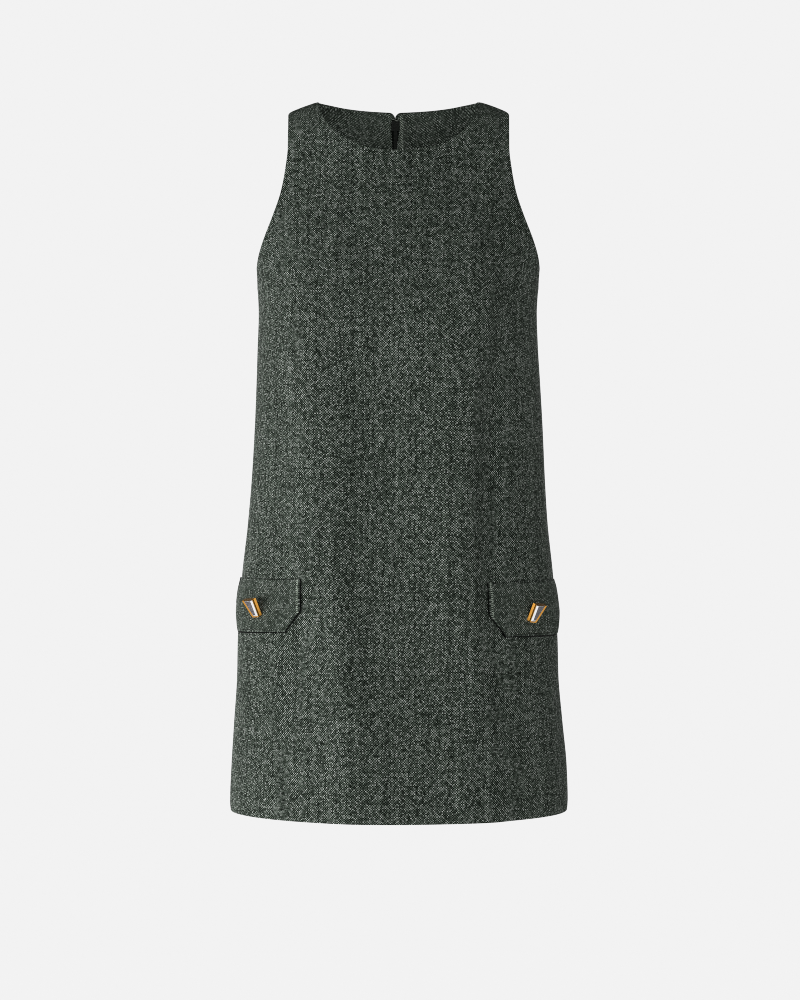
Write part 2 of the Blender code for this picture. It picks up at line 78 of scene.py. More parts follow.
PROFILE = (
    # drop, front_depth, back_depth
    (0.0, 0.0, 0.0),
    (6.0, 21.0, 31.0),
    (12.0, 30.0, 48.0),
    (20.0, 38.0, 60.0),
    (35.0, 48.0, 70.0),
    (70.0, 57.0, 84.0),
    (100.0, 64.0, 94.0),
    (135.0, 77.5, 100.5),
    (170.0, 92.5, 104.0),
    (205.0, 105.5, 106.0),
    (240.0, 114.5, 106.6),
    (280.0, 119.5, 106.4),
    (345.0, 121.0, 107.0),
    (466.0, 124.0, 116.0),
    (600.0, 133.0, 130.0),
    (720.0, 141.5, 140.0),
    (830.0, 149.8, 148.0),
)
ARMHOLE = (
    # z, half_width
    (-14.0, 129.0),
    (-30.0, 128.7),
    (-57.0, 128.5),
    (-82.0, 131.1),
    (-109.0, 136.1),
    (-136.0, 144.9),
    (-164.0, 156.0),
    (-184.0, 162.7),
    (-196.0, 165.2),
)
# Soft vertical folds: the line of each crest or hollow, with its height and its
# reach on either side. Heights of the line run down the table.
FOLDS = (
    # panel, ((z, x, height), ...), reach towards -x, reach towards +x
    ("front", ((-170, -122, 0.0), (-205, -116, 2.0), (-262, -108, 6.0), (-330, -99, 8.0),
               (-420, -93, 10.5), (-500, -91, 10.5), (-560, -82, 9.6), (-620, -66, 8.6),
               (-700, -52, 8.4), (-780, -47, 6.5), (-830, -46, 5.0)), 31.0, 26.0),
    ("front", ((-150, -14, 0.0), (-230, -18, -3.6), (-330, -20, -6.6), (-420, -18, -7.4), (-540, -14, -7.0),
               (-640, 0, -5.4), (-740, 10, -3.6), (-830, 18, -2.4)), 36.0, 42.0),
    ("front", ((-120, 90, 0.0), (-170, 96, 2.6), (-220, 98, 6.4), (-280, 90, 10.0),
               (-350, 79, 13.0), (-440, 76, 14.5), (-540, 75, 13.0), (-600, 79, 9.6),
               (-665, 90, 6.6), (-740, 100, 5.8), (-830, 105, 5.4)), 36.0, 18.0),
    ("front", ((-260, 118, 0.0), (-340, 110, -1.4), (-440, 108, -2.0), (-560, 106, -1.4),
               (-620, 110, 0.0), (-830, 120, 0.0)), 14.0, 20.0),
    ("front", ((-548, 99, 0.0), (-562, 100.5, -1.7), (-590, 100.5, -1.8), (-604, 104, -1.2), (-618, 116, -0.9),
               (-632, 122, 0.0)), 7.0, 5.0),
    ("front", ((-340, 132, 0.0), (-420, 132, 1.2), (-500, 132, 1.2), (-560, 134, 0.0)), 12.0, 12.0),
    ("front", ((-300, -134, 0.0), (-380, -138, -1.2), (-480, -140, -1.2), (-540, -142, 0.0)), 12.0, 16.0),
    ("back", ((-130, -68, 0.0), (-215, -80, 3.8), (-330, -88, 7.0), (-520, -92, 8.6),
              (-700, -98, 7.6), (-830, -101, 5.4)), 20.0, 32.0),
    ("back", ((-150, 76, 0.0), (-225, 84, 3.4), (-340, 84, 7.2), (-540, 80, 9.4),
              (-700, 82, 8.0), (-830, 85, 5.0)), 34.0, 19.0),
    ("back", ((-280, 34, 0.0), (-400, 36, -2.4), (-600, 38, -3.8), (-830, 36, -3.0)), 22.0, 24.0),
    ("back", ((-300, -40, 0.0), (-420, -42, -2.8), (-600, -46, -3.6), (-830, -50, -2.6)), 24.0, 22.0),
    ("back", ((-420, 122, 0.0), (-560, 124, -1.8), (-700, 130, -2.0), (-830, 134, -1.6)), 18.0, 18.0),
    ("back", ((-460, -130, 0.0), (-600, -132, -1.4), (-830, -142, -1.8)), 16.0, 18.0),
)
# Slight drags and hollows of the cloth: a row each, by place and reach.
DRAGS = (
    # panel, x, z, reach_across, reach_z, height
    ("front", -72.0, -240.0, 40.0, 40.0, 1.6),
    ("front", 74.0, -232.0, 42.0, 40.0, 2.0),
    ("front", 140.0, -250.0, 16.0, 46.0, -1.2),
    ("front", -140.0, -286.0, 16.0, 40.0, -0.9),
    ("front", 10.0, -170.0, 56.0, 46.0, -1.6),
    ("front", -60.0, -108.0, 30.0, 30.0, 0.7),
    ("front", 6.0, -700.0, 20.0, 80.0, 0.8),
    ("front", -96.0, -700.0, 26.0, 64.0, 0.8),
    ("front", -20.0, -420.0, 14.0, 60.0, 0.7),
    ("back", 76.0, -150.0, 44.0, 50.0, 1.6),
    ("back", -74.0, -146.0, 44.0, 52.0, 1.6),
    ("back", 12.0, -310.0, 60.0, 70.0, -1.8),
    ("back", -60.0, -560.0, 24.0, 80.0, -0.8),
    ("back", 104.0, -640.0, 26.0, 90.0, -0.9),
)
FLAPS = (
    # name, side, front_x, top_front, top_side, bottom_front, bottom_side, corner_along, corner_up
    ("left", -1, 108.2, -554.9, -555.8, -614.0, -617.2, 17.5, 19.5),
    ("right", 1, 99.9, -559.2, -557.7, -619.3, -619.6, 22.5, 24.0),
)
FLAP_BACK = 0.45
FLAP_FACE = {
    # share_down, outer_face_above_panel
    "left": ((0.0, 0.9), (0.06, 1.3), (0.13, 2.0), (0.2, 2.8), (0.3, 3.4), (0.45, 3.8), (0.6, 4.0),
             (0.85, 3.6), (1.0, 3.1)),
    "right": ((0.0, 1.0), (0.06, 1.9), (0.14, 2.9), (0.3, 3.9), (0.6, 4.8), (0.85, 5.1), (1.0, 4.6)),
}

# ------------------------------------------------------------------ the form
def column(table, index):
    rows = sorted(table, key=lambda r: r[0])
    x = np.array([r[0] for r in rows], float)
    y = np.array([r[index] for r in rows], float)
    h = np.diff(x)
    d = np.diff(y) / h
    m = np.zeros_like(y)
    for i in range(1, len(x) - 1):
        if d[i - 1] * d[i] > 0:
            w1, w2 = 2 * h[i] + h[i - 1], h[i] + 2 * h[i - 1]
            m[i] = (w1 + w2) / (w1 / d[i - 1] + w2 / d[i])
    m[0], m[-1] = d[0], d[-1]

    def value(v):
        v = np.clip(np.asarray(v, float), x[0], x[-1])
        i = np.clip(np.searchsorted(x, v) - 1, 0, len(x) - 2)
        t = (v - x[i]) / h[i]
        return ((1 + 2 * t) * (1 - t) ** 2 * y[i] + t * (1 - t) ** 2 * h[i] * m[i]
                + t * t * (3 - 2 * t) * y[i + 1] + t * t * (t - 1) * h[i] * m[i + 1])

    return value


def by_root(table, index):
    curve = column([(math.sqrt(r[0]), r[index]) for r in table], 1)
    return lambda drop: curve(np.sqrt(np.maximum(drop, 0.0)))


half_width = column(OUTLINE, 1)
centre_x = column(OUTLINE, 2)
squareness = column(OUTLINE, 3)
armhole_x = column(ARMHOLE, 1)
depth_of = {"front": by_root(PROFILE, 1), "back": by_root(PROFILE, 2)}
SIGN = {"front": -1.0, "back": 1.0}


def smooth(a, b, v):
    t = np.clip((np.asarray(v, float) - a) / (b - a), 0.0, 1.0)
    return t * t * (3 - 2 * t)


def ridge(x):
    out = np.abs(x) - NECK_HALF
    t = np.clip(out / (SHOULDER_TIP - NECK_HALF), 0.0, 1.0)
    return -0.368 * out + 0.55 * np.sin(math.pi * t) * (1 + 0.5 * (np.asarray(x) > 0))


def worn_off(panel, x):
    """How far the corners at the neck point and the shoulder tip are rounded."""
    x = np.abs(x)
    reach = np.clip(x - (SHOULDER_TIP - 8.0), 0.0, 8.0)
    tip = 8.0 - np.sqrt(np.maximum(8.0 ** 2 - reach ** 2, 0.0))
    point = 1.7 * np.exp(-((x - NECK_HALF) / 3.2) ** 2) if panel == "front" else \
        0.25 * np.exp(-((x - NECK_HALF) / 2.0) ** 2)
    return point + 0.45 * tip


def drop_below_ridge(x, z):
    return ridge(x) * smooth(-UNDERARM, -60.0, z) - z


def edge_x(z):
    return np.where(np.asarray(z) < -UNDERARM, half_width(z),
                    np.minimum(armhole_x(z), half_width(z)))


def squared_depth(panel, x, z):
    q = 1.0 - (np.abs(x) / half_width(z)) ** squareness(z)
    return depth_of[panel](drop_below_ridge(x, z)) ** 2 * q


def depth(panel, x, z):
    return np.sqrt(np.maximum(squared_depth(panel, x, z), 0.0))


def zip_x(z):
    return ZIP_SHIFT * smooth(-330.0, -60.0, z)


# share of the half width reached after share u of a section's own length
Z_TABLE = np.concatenate([np.linspace(-HEM - 2, -UNDERARM - 1, 120),
                          np.linspace(-UNDERARM + 0.01, -40.0, 120)])
U_TABLE = np.linspace(0.0, 1.0, 201)
SHARES, LENGTHS = {}, {}
for _panel in ("front", "back"):
    _rows, _len = [], []
    for _z in Z_TABLE:
        _s = np.sin(np.linspace(0.0, math.pi / 2, 400))
        _x = float(edge_x(_z)) * _s
        _y = depth(_panel, _x, _z)
        _run = np.concatenate([[0.0], np.cumsum(np.hypot(np.diff(_x), np.diff(_y)))])
        _rows.append(np.interp(U_TABLE * _run[-1], _run, _s))
        _len.append(_run[-1])
    SHARES[_panel] = np.array(_rows)
    LENGTHS[_panel] = np.array(_len)


def look_up(panel, u, z):
    """Share of the half width, and the section's length, at u and z (arrays)."""
    z = np.minimum(z, -40.0)
    zi = np.clip(np.searchsorted(Z_TABLE, z) - 1, 0, len(Z_TABLE) - 2)
    zt = np.clip((z - Z_TABLE[zi]) / (Z_TABLE[zi + 1] - Z_TABLE[zi]), 0, 1)
    a = np.abs(u) * (len(U_TABLE) - 1)
    ui = np.clip(a.astype(int), 0, len(U_TABLE) - 2)
    ut = np.clip(a - ui, 0, 1)
    s = SHARES[panel]
    share = ((s[zi, ui] * (1 - ut) + s[zi, ui + 1] * ut) * (1 - zt)
             + (s[zi + 1, ui] * (1 - ut) + s[zi + 1, ui + 1] * ut) * zt)
    length = LENGTHS[panel][zi] * (1 - zt) + LENGTHS[panel][zi + 1] * zt
    return share, length


def form(panel, u, z):
    """Points of the plain form, its outward normals and its local x."""
    share, _ = look_up(panel, u, z)
    x = np.sign(u) * share * edge_x(z)
    y = SIGN[panel] * depth(panel, x, z)
    d = 0.4
    gx = -(squared_depth(panel, x + d, z) - squared_depth(panel, x - d, z)) / (2 * d)
    gz = -(squared_depth(panel, x, z + d) - squared_depth(panel, x, z - d)) / (2 * d)
    n = np.stack([gx, 2 * y, gz], -1)
    n /= np.maximum(np.linalg.norm(n, axis=-1, keepdims=True), 1e-9)
    lean = zip_x(z) * (1 - share) if panel == "back" else 0.0
    p = np.stack([x + centre_x(z) + lean, y, z], -1)
    return p, n, x


FOLD_LINES = [(panel, column([(z, x) for z, x, _ in line], 1), column([(z, h) for z, _, h in line], 1),
               line[0][0], minus, plus) for panel, line, minus, plus in FOLDS]


def folds(panel, u, z, x):
    """Height of the soft folds, drags and wrinkles off the form."""
    total = np.zeros_like(z, dtype=float)
    for name, line_x, high, start, minus, plus in FOLD_LINES:
        if name == panel:
            d = x - line_x(z) - 2.2 * np.sin(z / 58.0 + start)
            d = np.where(d < 0, d / minus, d / plus)
            total += np.where(z < start, high(z), 0.0) * np.exp(-d * d)
    for name, x0, z0, ra, rz, high in DRAGS:
        if name == panel:
            total += high * np.exp(-((x - x0) / ra) ** 2 - ((z - z0) / rz) ** 2)
    # slow unevenness of a thick cloth
    ph = 0.7 if panel == "front" else 2.9
    total += 0.28 * np.sin(u * 9.3 + z / 63.0 + ph) * np.sin(z / 117.0 + ph * 2 + u * 2)
    total += 0.14 * np.sin(u * 21.0 - z / 37.0 + ph) * np.sin(z / 53.0 + u * 5 + ph)
    return total * (1 - smooth(0.84, 0.98, np.abs(u))) * (1 - smooth(-60.0, -8.0, z))


def darts(u, z):
    """Bust darts: a fine sewn line from each side seam towards the bust."""
    _, length = look_up("front", np.ones_like(z), z)
    total = np.zeros_like(z, dtype=float)
    for side, start, tip, drop, deep in ((1, 1.0, 0.50, 4.0, 0.75), (-1, 1.0, 0.52, 4.5, 0.55)):
        a = u * side
        k = np.clip((start - a) / (start - tip), 0, 1)
        line = -222.0 - drop * k
        run = smooth(0.0, 0.25, (a - tip) / (start - tip))
        total -= deep * run * np.exp(-((z - line) / 1.5) ** 2)
        total += 0.45 * run * np.exp(-((z - line - 5.0) / 3.5) ** 2)
        total += 0.8 * np.exp(-((a - tip + 0.06) / 0.10) ** 2 - ((z + 226.0) / 22.0) ** 2)
    return total


def open_above(panel, u, z):
    p, _, x = form(panel, u, z)
    over = drop_below_ridge(x, z) <= 0
    inside = np.abs(x) < NECK_HALF
    if panel == "front":
        s = np.clip(1 - (np.abs(x) / NECK_HALF) ** NECK_ROUND[0], 0, 1)
        limit = -NECK_DROP_FRONT * s ** (1 / NECK_ROUND[1])
    else:
        limit = -NECK_DROP_BACK * np.clip(1 - (p[..., 0] / NECK_HALF) ** 2, 0, 1) ** 1.5
        gap = np.abs(p[..., 0] - zip_x(z))
        limit = limit - np.where(gap < CORNER, CORNER - np.sqrt(
            np.clip(CORNER ** 2 - (CORNER - gap) ** 2, 0, None)), 0.0)
    return over | (inside & (z > limit))


def tops(panel, u):
    low, high = np.full(u.shape, -150.0), np.full(u.shape, 12.0)
    for _ in range(46):
        mid = 0.5 * (low + high)
        shut = open_above(panel, u, mid)
        high = np.where(shut, mid, high)
        low = np.where(shut, low, mid)
    x = form(panel, u, low)[2]
    near = np.abs(x) > NECK_HALF - 9.0 if panel == "back" else np.abs(x) >= NECK_HALF - 0.02
    return low - np.where(near, worn_off(panel, x), 0.0), np.abs(x) >= NECK_HALF - 0.02


def spread(panel, neck, shoulder):
    reached, _ = look_up(panel, U_TABLE, np.full(U_TABLE.shape, -40.0))
    hps = float(np.interp(NECK_HALF / SHOULDER_TIP, reached, U_TABLE))
    inner = np.linspace(0.0, hps, neck + 1)
    if panel == "back":
        fine = np.array([0.0, 0.5, 1.2, 2.1, 3.2, 4.5, 6.0, 8.0]) / 118.0
        inner = np.concatenate([fine, np.linspace(fine[-1] + 0.02, hps, neck - 6)])
    return np.concatenate([inner, np.linspace(hps, 1.0, shoulder + 1)[1:]])


def rows_of(top, low_rows, top_rows):
    """Heights, hem row first, for columns that end at the heights in top."""
    k = np.linspace(0.0, 1.0, low_rows + 1)
    # close rows at the hem's turn, even above it
    low = -HEM + (HEM - UNDERARM) * k
    ease = (1 - np.cos(np.linspace(0, math.pi, top_rows + 1)[1:])) / 2
    z = [np.full(top.shape, v) for v in low]
    z += [-UNDERARM + (top + UNDERARM) * e for e in ease]
    return np.array(z)


def fall_length(panel):
    """Length down the cloth from the shoulder, by height, for the weave."""
    z = np.linspace(0.0, -HEM - 5, 400)
    y = depth_of[panel](np.maximum(-z, 0.0))
    run = np.concatenate([[0.0], np.cumsum(np.hypot(np.diff(z), np.diff(y)))])
    return lambda v: np.interp(-np.asarray(v), -z, run)


# ------------------------------------------------------------------ meshes
def link(obj):
    bpy.context.scene.collection.objects.link(obj)
    return obj


def mesh_object(name, verts, faces, uvs=None, mat=None, smooth_all=True):
    mesh = bpy.data.meshes.new(name)
    mesh.from_pydata([tuple(v) for v in np.asarray(verts) * MM], [], faces)
    if uvs is not None:
        layer = mesh.uv_layers.new(name="cloth")
        index = np.zeros(len(mesh.loops), dtype=np.int64)
        mesh.loops.foreach_get("vertex_index", index)
        layer.data.foreach_set("uv", (np.asarray(uvs)[index] * MM).ravel())
    if smooth_all:
        mesh.shade_smooth()
    obj = link(bpy.data.objects.new(name, mesh))
    if mat is not None:
        mesh.materials.append(mat)
    return obj


def wall(name, outer, inner, uv, mat, roll=0.7, flip=False, edge_shadow_mat=None):
    """A closed wall between two grids, with rounded edges all round; the inner half of the rim may take a second
    material of painted shadow.
    """
    rows, cols = outer.shape[:2]
    loop = [(0, c) for c in range(cols)] + [(r, cols - 1) for r in range(1, rows)]
    loop += [(rows - 1, c) for c in range(cols - 2, -1, -1)] + [(r, 0) for r in range(rows - 2, 0, -1)]
    inward = []
    for r, c in loop:
        r2 = 1 if r == 0 else (rows - 2 if r == rows - 1 else r)
        c2 = 1 if c == 0 else (cols - 2 if c == cols - 1 else c)
        d = outer[r2, c2] - outer[r, c]
        inward.append(d / max(np.linalg.norm(d), 1e-9))
    out = outer.copy()
    inn = inner.copy()
    rim = []
    for (r, c), d in zip(loop, inward):
        o, i = outer[r, c], inner[r, c]
        half, mid = (o - i) / 2, (o + i) / 2
        ring = []
        for ang in (55, 22, -22, -55):
            q = math.radians(ang)
            ring.append(mid + half * math.sin(q) + d * roll * (1 - math.cos(q)))
        rim.append(ring)
        out[r, c] = o + d * roll
        inn[r, c] = i + d * roll
    verts = [*out.reshape(-1, 3), *inn.reshape(-1, 3)]
    uvs = [*uv.reshape(-1, 2), *uv.reshape(-1, 2)]
    base = rows * cols
    faces = []
    for r in range(rows - 1):
        for c in range(cols - 1):
            a, b = r * cols + c, r * cols + c + 1
            e, f = (r + 1) * cols + c + 1, (r + 1) * cols + c
            faces.append((a, b, e, f))
            faces.append((base + a, base + f, base + e, base + b))
    start = len(verts)
    n = len(loop)
    for k, ((r, c), ring) in enumerate(zip(loop, rim)):
        for v in ring:
            verts.append(v)
            uvs.append(uv[r, c])
    for k in range(n):
        j = (k + 1) % n
        a = [loop[k][0] * cols + loop[k][1]] + [start + k * 4 + q for q in range(4)] + [base + loop[k][0] * cols + loop[k][1]]
        b = [loop[j][0] * cols + loop[j][1]] + [start + j * 4 + q for q in range(4)] + [base + loop[j][0] * cols + loop[j][1]]
        for q in range(5):
            faces.append((b[q], a[q], a[q + 1], b[q + 1]))
    if flip:
        faces = [tuple(reversed(f)) for f in faces]
    obj = mesh_object(name, verts, faces, np.array(uvs), mat)
    # the inner half of the rim takes the edge material: a near-black painted shadow
    if edge_shadow_mat is not None:
        obj.data.materials.append(edge_shadow_mat)
        first = len(faces) - n * 5
        for k in range(n):
            for q in (2, 3, 4):
                obj.data.polygons[first + k * 5 + q].material_index = 1
    return obj


def cloth_uv(panel, u, z, fall):
    _, length = look_up(panel, u, np.minimum(z, -UNDERARM * 0.3))
    share, length = look_up(panel, u, z)
    # distance across the cloth from the panel's centre line
    full = np.where(z < -40, length, length)
    return np.stack([u * full, -fall(z)], -1)


def panel_piece(name, panel, u, low_rows, top_rows, mat, flip=False, seam_side=0.0, centre_side=0):
    top, on_ridge = tops(panel, u)
    z = rows_of(top, low_rows, top_rows)
    uu = np.broadcast_to(u, z.shape)
    # the ridge itself is a limit: step down a hair so that its normal is sound
    p, n, x = form(panel, uu, z)
    last = z.shape[0] - 1
    n_safe = form(panel, uu[last], z[last] - 0.02)[1]
    n[last] = n_safe
    h = folds(panel, uu, z, x)
    if panel == "front":
        h = h + darts(uu, z)
    p = p + n * h[..., None]
    limit = SEAM / 2
    y = SIGN[panel] * p[..., 1]
    p[..., 1] = SIGN[panel] * np.maximum(y, limit)
    p[last, on_ridge, 1] = SIGN[panel] * limit
    if centre_side:
        p[:, 0, 0] += centre_side * SEAM / 2
        n[:, 0, 0] = 0.0
        n[:, 0] /= np.linalg.norm(n[:, 0], axis=1)[:, None]
    # the hem is turned up inside
    thick = CLOTH + 1.4 * (1 - smooth(-HEM + 33.0, -HEM + 36.0, z))
    inner = p - n * thick[..., None]
    y = SIGN[panel] * inner[..., 1]
    inner[..., 1] = SIGN[panel] * np.maximum(y, limit)
    uv = cloth_uv(panel, uu, z, fall_length(panel))
    return wall(name, p, inner, uv, mat, flip=flip), p, n


def surface(panel, u, z):
    """Point on the finished panel's face, with folds, and the normal."""
    u, z = np.asarray(u, float), np.asarray(z, float)
    p, n, x = form(panel, u, z)
    h = folds(panel, u, z, x)
    if panel == "front":
        h = h + darts(u, z)
    return p + n * h[..., None], n


def u_at_x(panel, x, z):
    """Share of the half panel at a distance x from the centre line."""
    share, length = look_up(panel, np.broadcast_to(U_TABLE, (1, len(U_TABLE))),
                            np.full((1, len(U_TABLE)), float(z)))
    return float(np.interp(x, share[0] * float(edge_x(z)), U_TABLE)), float(length[0, 0])


# ------------------------------------------------------------------ node helpers
class Graph:
    """Short calls for a material's nodes."""

    def __init__(self, name):
        self.mat = bpy.data.materials.new(name)
        self.mat.use_nodes = True
        self.tree = self.mat.node_tree
        self.shader = self.tree.nodes["Principled BSDF"]

    def put(self, socket, value):
        if hasattr(value, "is_output"):
            self.tree.links.new(value, socket)
        elif value is not None:
            socket.default_value = value

    def math(self, op, a, b=None, c=None, clamp=False):
        n = self.tree.nodes.new("ShaderNodeMath")
        n.operation, n.use_clamp = op, clamp
        for s, v in zip(n.inputs, (a, b, c)):
            self.put(s, v)
        return n.outputs[0]

    def vec(self, op, a, b=None, scale=None):
        n = self.tree.nodes.new("ShaderNodeVectorMath")
        n.operation = op
        self.put(n.inputs[0], a)
        if b is not None:
            self.put(n.inputs[1], b)
        if scale is not None:
            self.put(n.inputs["Scale"], scale)
        return n.outputs["Value"] if op in ("LENGTH", "DOT_PRODUCT", "DISTANCE") else n.outputs[0]

    def xyz(self, v):
        n = self.tree.nodes.new("ShaderNodeSeparateXYZ")
        self.put(n.inputs[0], v)
        return n.outputs

    def join(self, x, y, z=0.0):
        n = self.tree.nodes.new("ShaderNodeCombineXYZ")
        for s, v in zip(n.inputs, (x, y, z)):
            self.put(s, v)
        return n.outputs[0]

    def uv(self):
        n = self.tree.nodes.new("ShaderNodeUVMap")
        n.uv_map = "cloth"
        return n.outputs[0]

    def place(self):
        return self.tree.nodes.new("ShaderNodeTexCoord").outputs["Object"]

    def noise(self, v, scale, detail=2.0, rough=0.5, dims="3D"):
        n = self.tree.nodes.new("ShaderNodeTexNoise")
        n.noise_dimensions = dims
        self.put(n.inputs["Vector"], v)
        n.inputs["Scale"].default_value = scale
        n.inputs["Detail"].default_value = detail
        n.inputs["Roughness"].default_value = rough
        return n.outputs

    def white(self, v, dims="2D"):
        n = self.tree.nodes.new("ShaderNodeTexWhiteNoise")
        n.noise_dimensions = dims
        if dims == "1D":
            self.put(n.inputs["W"], v)
        else:
            self.put(n.inputs["Vector"], v)
        return n.outputs[0]

    def ramp(self, fac, stops, mode="LINEAR"):
        n = self.tree.nodes.new("ShaderNodeValToRGB")
        n.color_ramp.interpolation = mode
        e = n.color_ramp.elements
        while len(e) > 1:
            e.remove(e[-1])
        e[0].position, e[0].color = stops[0][0], (*stops[0][1], 1.0)
        for pos, col in stops[1:]:
            k = e.new(pos)
            k.color = (*col, 1.0)
        self.put(n.inputs[0], fac)
        return n.outputs[0]

    def mix(self, fac, a, b, blend="MIX"):
        n = self.tree.nodes.new("ShaderNodeMix")
        n.data_type, n.blend_type = "RGBA", blend
        self.put(n.inputs[0], fac)
        self.put(n.inputs[6], a if hasattr(a, "is_output") else (*a, 1.0))
        self.put(n.inputs[7], b if hasattr(b, "is_output") else (*b, 1.0))
        return n.outputs[2]

    def span(self, v, lo, hi, a=0.0, b=1.0):
        n = self.tree.nodes.new("ShaderNodeMapRange")
        self.put(n.inputs[0], v)
        for s, k in zip(n.inputs[1:5], (lo, hi, a, b)):
            s.default_value = k
        return n.outputs[0]

    def bump(self, height, strength, distance, normal=None):
        n = self.tree.nodes.new("ShaderNodeBump")
        n.inputs["Strength"].default_value = strength
        n.inputs["Distance"].default_value = distance
        self.put(n.inputs["Height"], height)
        if normal is not None:
            self.put(n.inputs["Normal"], normal)
        return n.outputs[0]

    def set(self, **values):
        for key, v in values.items():
            self.put(self.shader.inputs[key.replace("_", " ")], v)
        return self.mat


def tweed(name, lift=1.0, seed=0.0, whipped=None, soft=0.0):
    """Plain-woven tweed: pale flecked weft over near-black green warp.

    whipped: (from, to, slant, spacing in mm) small pale ticks along one edge."""
    g = Graph(name)
    pitch = 1.42 * MM
    uv = g.vec("SCALE", g.uv(), scale=1.0 / pitch)
    uv = g.vec("ADD", uv, (300.0 + seed, 1200.0 + seed, 0.0))
    # yarns wander a little
    w = g.noise(uv, 0.22, 2.0, 0.6, "2D")["Color"]
    w = g.vec("SUBTRACT", w, (0.5, 0.5, 0.5))
    uv = g.vec("ADD", uv, g.vec("SCALE", w, scale=0.9))
    x, y, _ = g.xyz(uv)
    ix, iy = g.math("FLOOR", x), g.math("FLOOR", y)
    fx, fy = g.math("FRACT", x), g.math("FRACT", y)
    odd = g.math("MODULO", g.math("ADD", ix, iy), 2.0)     # 1: weft on top
    cell = g.white(g.join(ix, iy))
    warp_r = g.white(g.math("ADD", ix, 17.3), "1D")
    weft_r = g.white(g.math("ADD", iy, 91.7), "1D")
    # spun colour along each yarn
    along_weft = g.noise(g.join(g.math("MULTIPLY", x, 0.46), g.math("MULTIPLY", iy, 7.13)), 1.0, 3.0, 0.7, "2D")[0]
    along_warp = g.noise(g.join(g.math("MULTIPLY", ix, 9.71), g.math("MULTIPLY", y, 0.30)), 1.0, 3.0, 0.7, "2D")[0]
    # rounded yarns: painted shade darkens them where they dip between their neighbours
    def hump(f):
        t = g.math("SUBTRACT", g.math("MULTIPLY", f, 2.0), 1.0)
        return g.math("SUBTRACT", 1.0, g.math("MULTIPLY", t, t))
    hx, hy = hump(fx), hump(fy)
    height = g.math("MULTIPLY", g.math("POWER", g.math("MAXIMUM", hx, 0.0), 0.5),
                    g.math("POWER", g.math("MAXIMUM", hy, 0.0), 0.5))
    fleck = g.math("ADD", g.math("MULTIPLY", cell, 0.50), g.math("MULTIPLY", along_weft, 0.66))
    fleck = g.math("ADD", fleck, g.math("MULTIPLY", weft_r, 0.07))
    fleck = g.math("ADD", fleck, g.math("MULTIPLY", warp_r, 0.10))
    pale = g.ramp(g.span(fleck, 0.25, 1.05), [
        (0.0, (0.010 * lift, 0.016 * lift, 0.010 * lift)),
        (0.25, (0.080 * lift, 0.106 * lift, 0.081 * lift)),
        (0.55, (0.270 * lift, 0.335 * lift, 0.273 * lift)),
        (0.85, (0.72 * lift, 0.80 * lift, 0.72 * lift)),
        (1.0, (0.90, 0.94, 0.89))])
    dark = g.ramp(g.span(g.math("ADD", along_warp, g.math("MULTIPLY", warp_r, 0.25)), 0.35, 0.95), [
        (0.0, (0.0008, 0.0020, 0.0010)),
        (0.6, (0.0030 * lift, 0.0052 * lift, 0.0031 * lift)),
        (1.0, (0.050 * lift, 0.066 * lift, 0.050 * lift))])
    col = g.mix(odd, dark, pale)
    # painted shade: the colour is darkened by the yarns' height, darkest between them
    shade = g.span(height, 0.0, 0.9, 0.30, 1.0)
    col = g.mix(1.0, col, g.join(shade, shade, shade), "MULTIPLY")
    # faint streaks and clouding over the piece
    streak = g.noise(g.join(g.math("MULTIPLY", x, 0.16), g.math("MULTIPLY", y, 0.012)), 1.0, 2.0, 0.6, "2D")[0]
    cloud = g.noise(uv, 0.035, 3.0, 0.6, "2D")[0]
    tone = g.math("MULTIPLY", g.span(streak, 0.25, 0.75, 0.86, 1.14), g.span(cloud, 0.25, 0.75, 0.95, 1.05))
    col = g.mix(1.0, col, g.join(tone, tone, tone), "MULTIPLY")
    u, v, _ = g.xyz(g.uv())
    # worn softer along the shoulders
    calm = g.math("ADD", soft, g.span(v, -0.085, -0.020, 0.0, 0.30 - soft))
    col = g.mix(calm, col, (0.118 * lift, 0.146 * lift, 0.119 * lift))
    if whipped:
        near, far, lean, every = whipped
        across = g.math("ABSOLUTE", u)
        band = g.math("MULTIPLY", g.span(across, (near - 0.3) * MM, (near + 0.2) * MM),
                      g.span(across, (far + 0.4) * MM, (far - 0.4) * MM))
        slant = g.math("ADD", v, g.math("MULTIPLY", across, lean))
        tick = g.span(g.math("SINE", g.math("MULTIPLY", slant, 2 * math.pi / (every * MM))), -0.1, 0.5)
        tick = g.math("MULTIPLY", g.math("MULTIPLY", band, tick), g.span(cell, 0.1, 0.6, 0.35, 1.0))
        col = g.mix(tick, col, (0.60 * lift, 0.69 * lift, 0.58 * lift))
    # short fibres that stand off the yarns
    fuzz = g.noise(uv, 3.1, 3.0, 0.75, "2D")[0]
    hgt = g.math("ADD", height, g.math("MULTIPLY", fuzz, 0.55))
    nrm = g.bump(hgt, 0.55, 0.00045)
    g.set(Base_Color=col, Roughness=g.span(fuzz, 0.2, 0.8, 0.78, 0.95), Normal=nrm)
    g.shader.inputs["Specular IOR Level"].default_value = 0.07
    g.shader.inputs["Sheen Weight"].default_value = 0.025
    g.shader.inputs["Sheen Roughness"].default_value = 0.45
    g.shader.inputs["Sheen Tint"].default_value = (0.80, 0.86, 0.78, 1.0)
    return g.mat


TWEED = tweed("tweed_front")
TWEED_BACK = tweed("tweed_back", seed=37.0)
# the flaps' tweed is set a little darker than the front's: painted shade
TWEED_FLAP = tweed("tweed_flap", lift=0.95, seed=91.0, whipped=(1.5, 4.1, 0.35, 2.27), soft=0.20)
# near-black tweed for the flaps' edge faces: painted shadow along the edges
TWEED_EDGE_SHADOW = tweed("tweed_painted_edge_shadow", lift=0.04, seed=57.0)
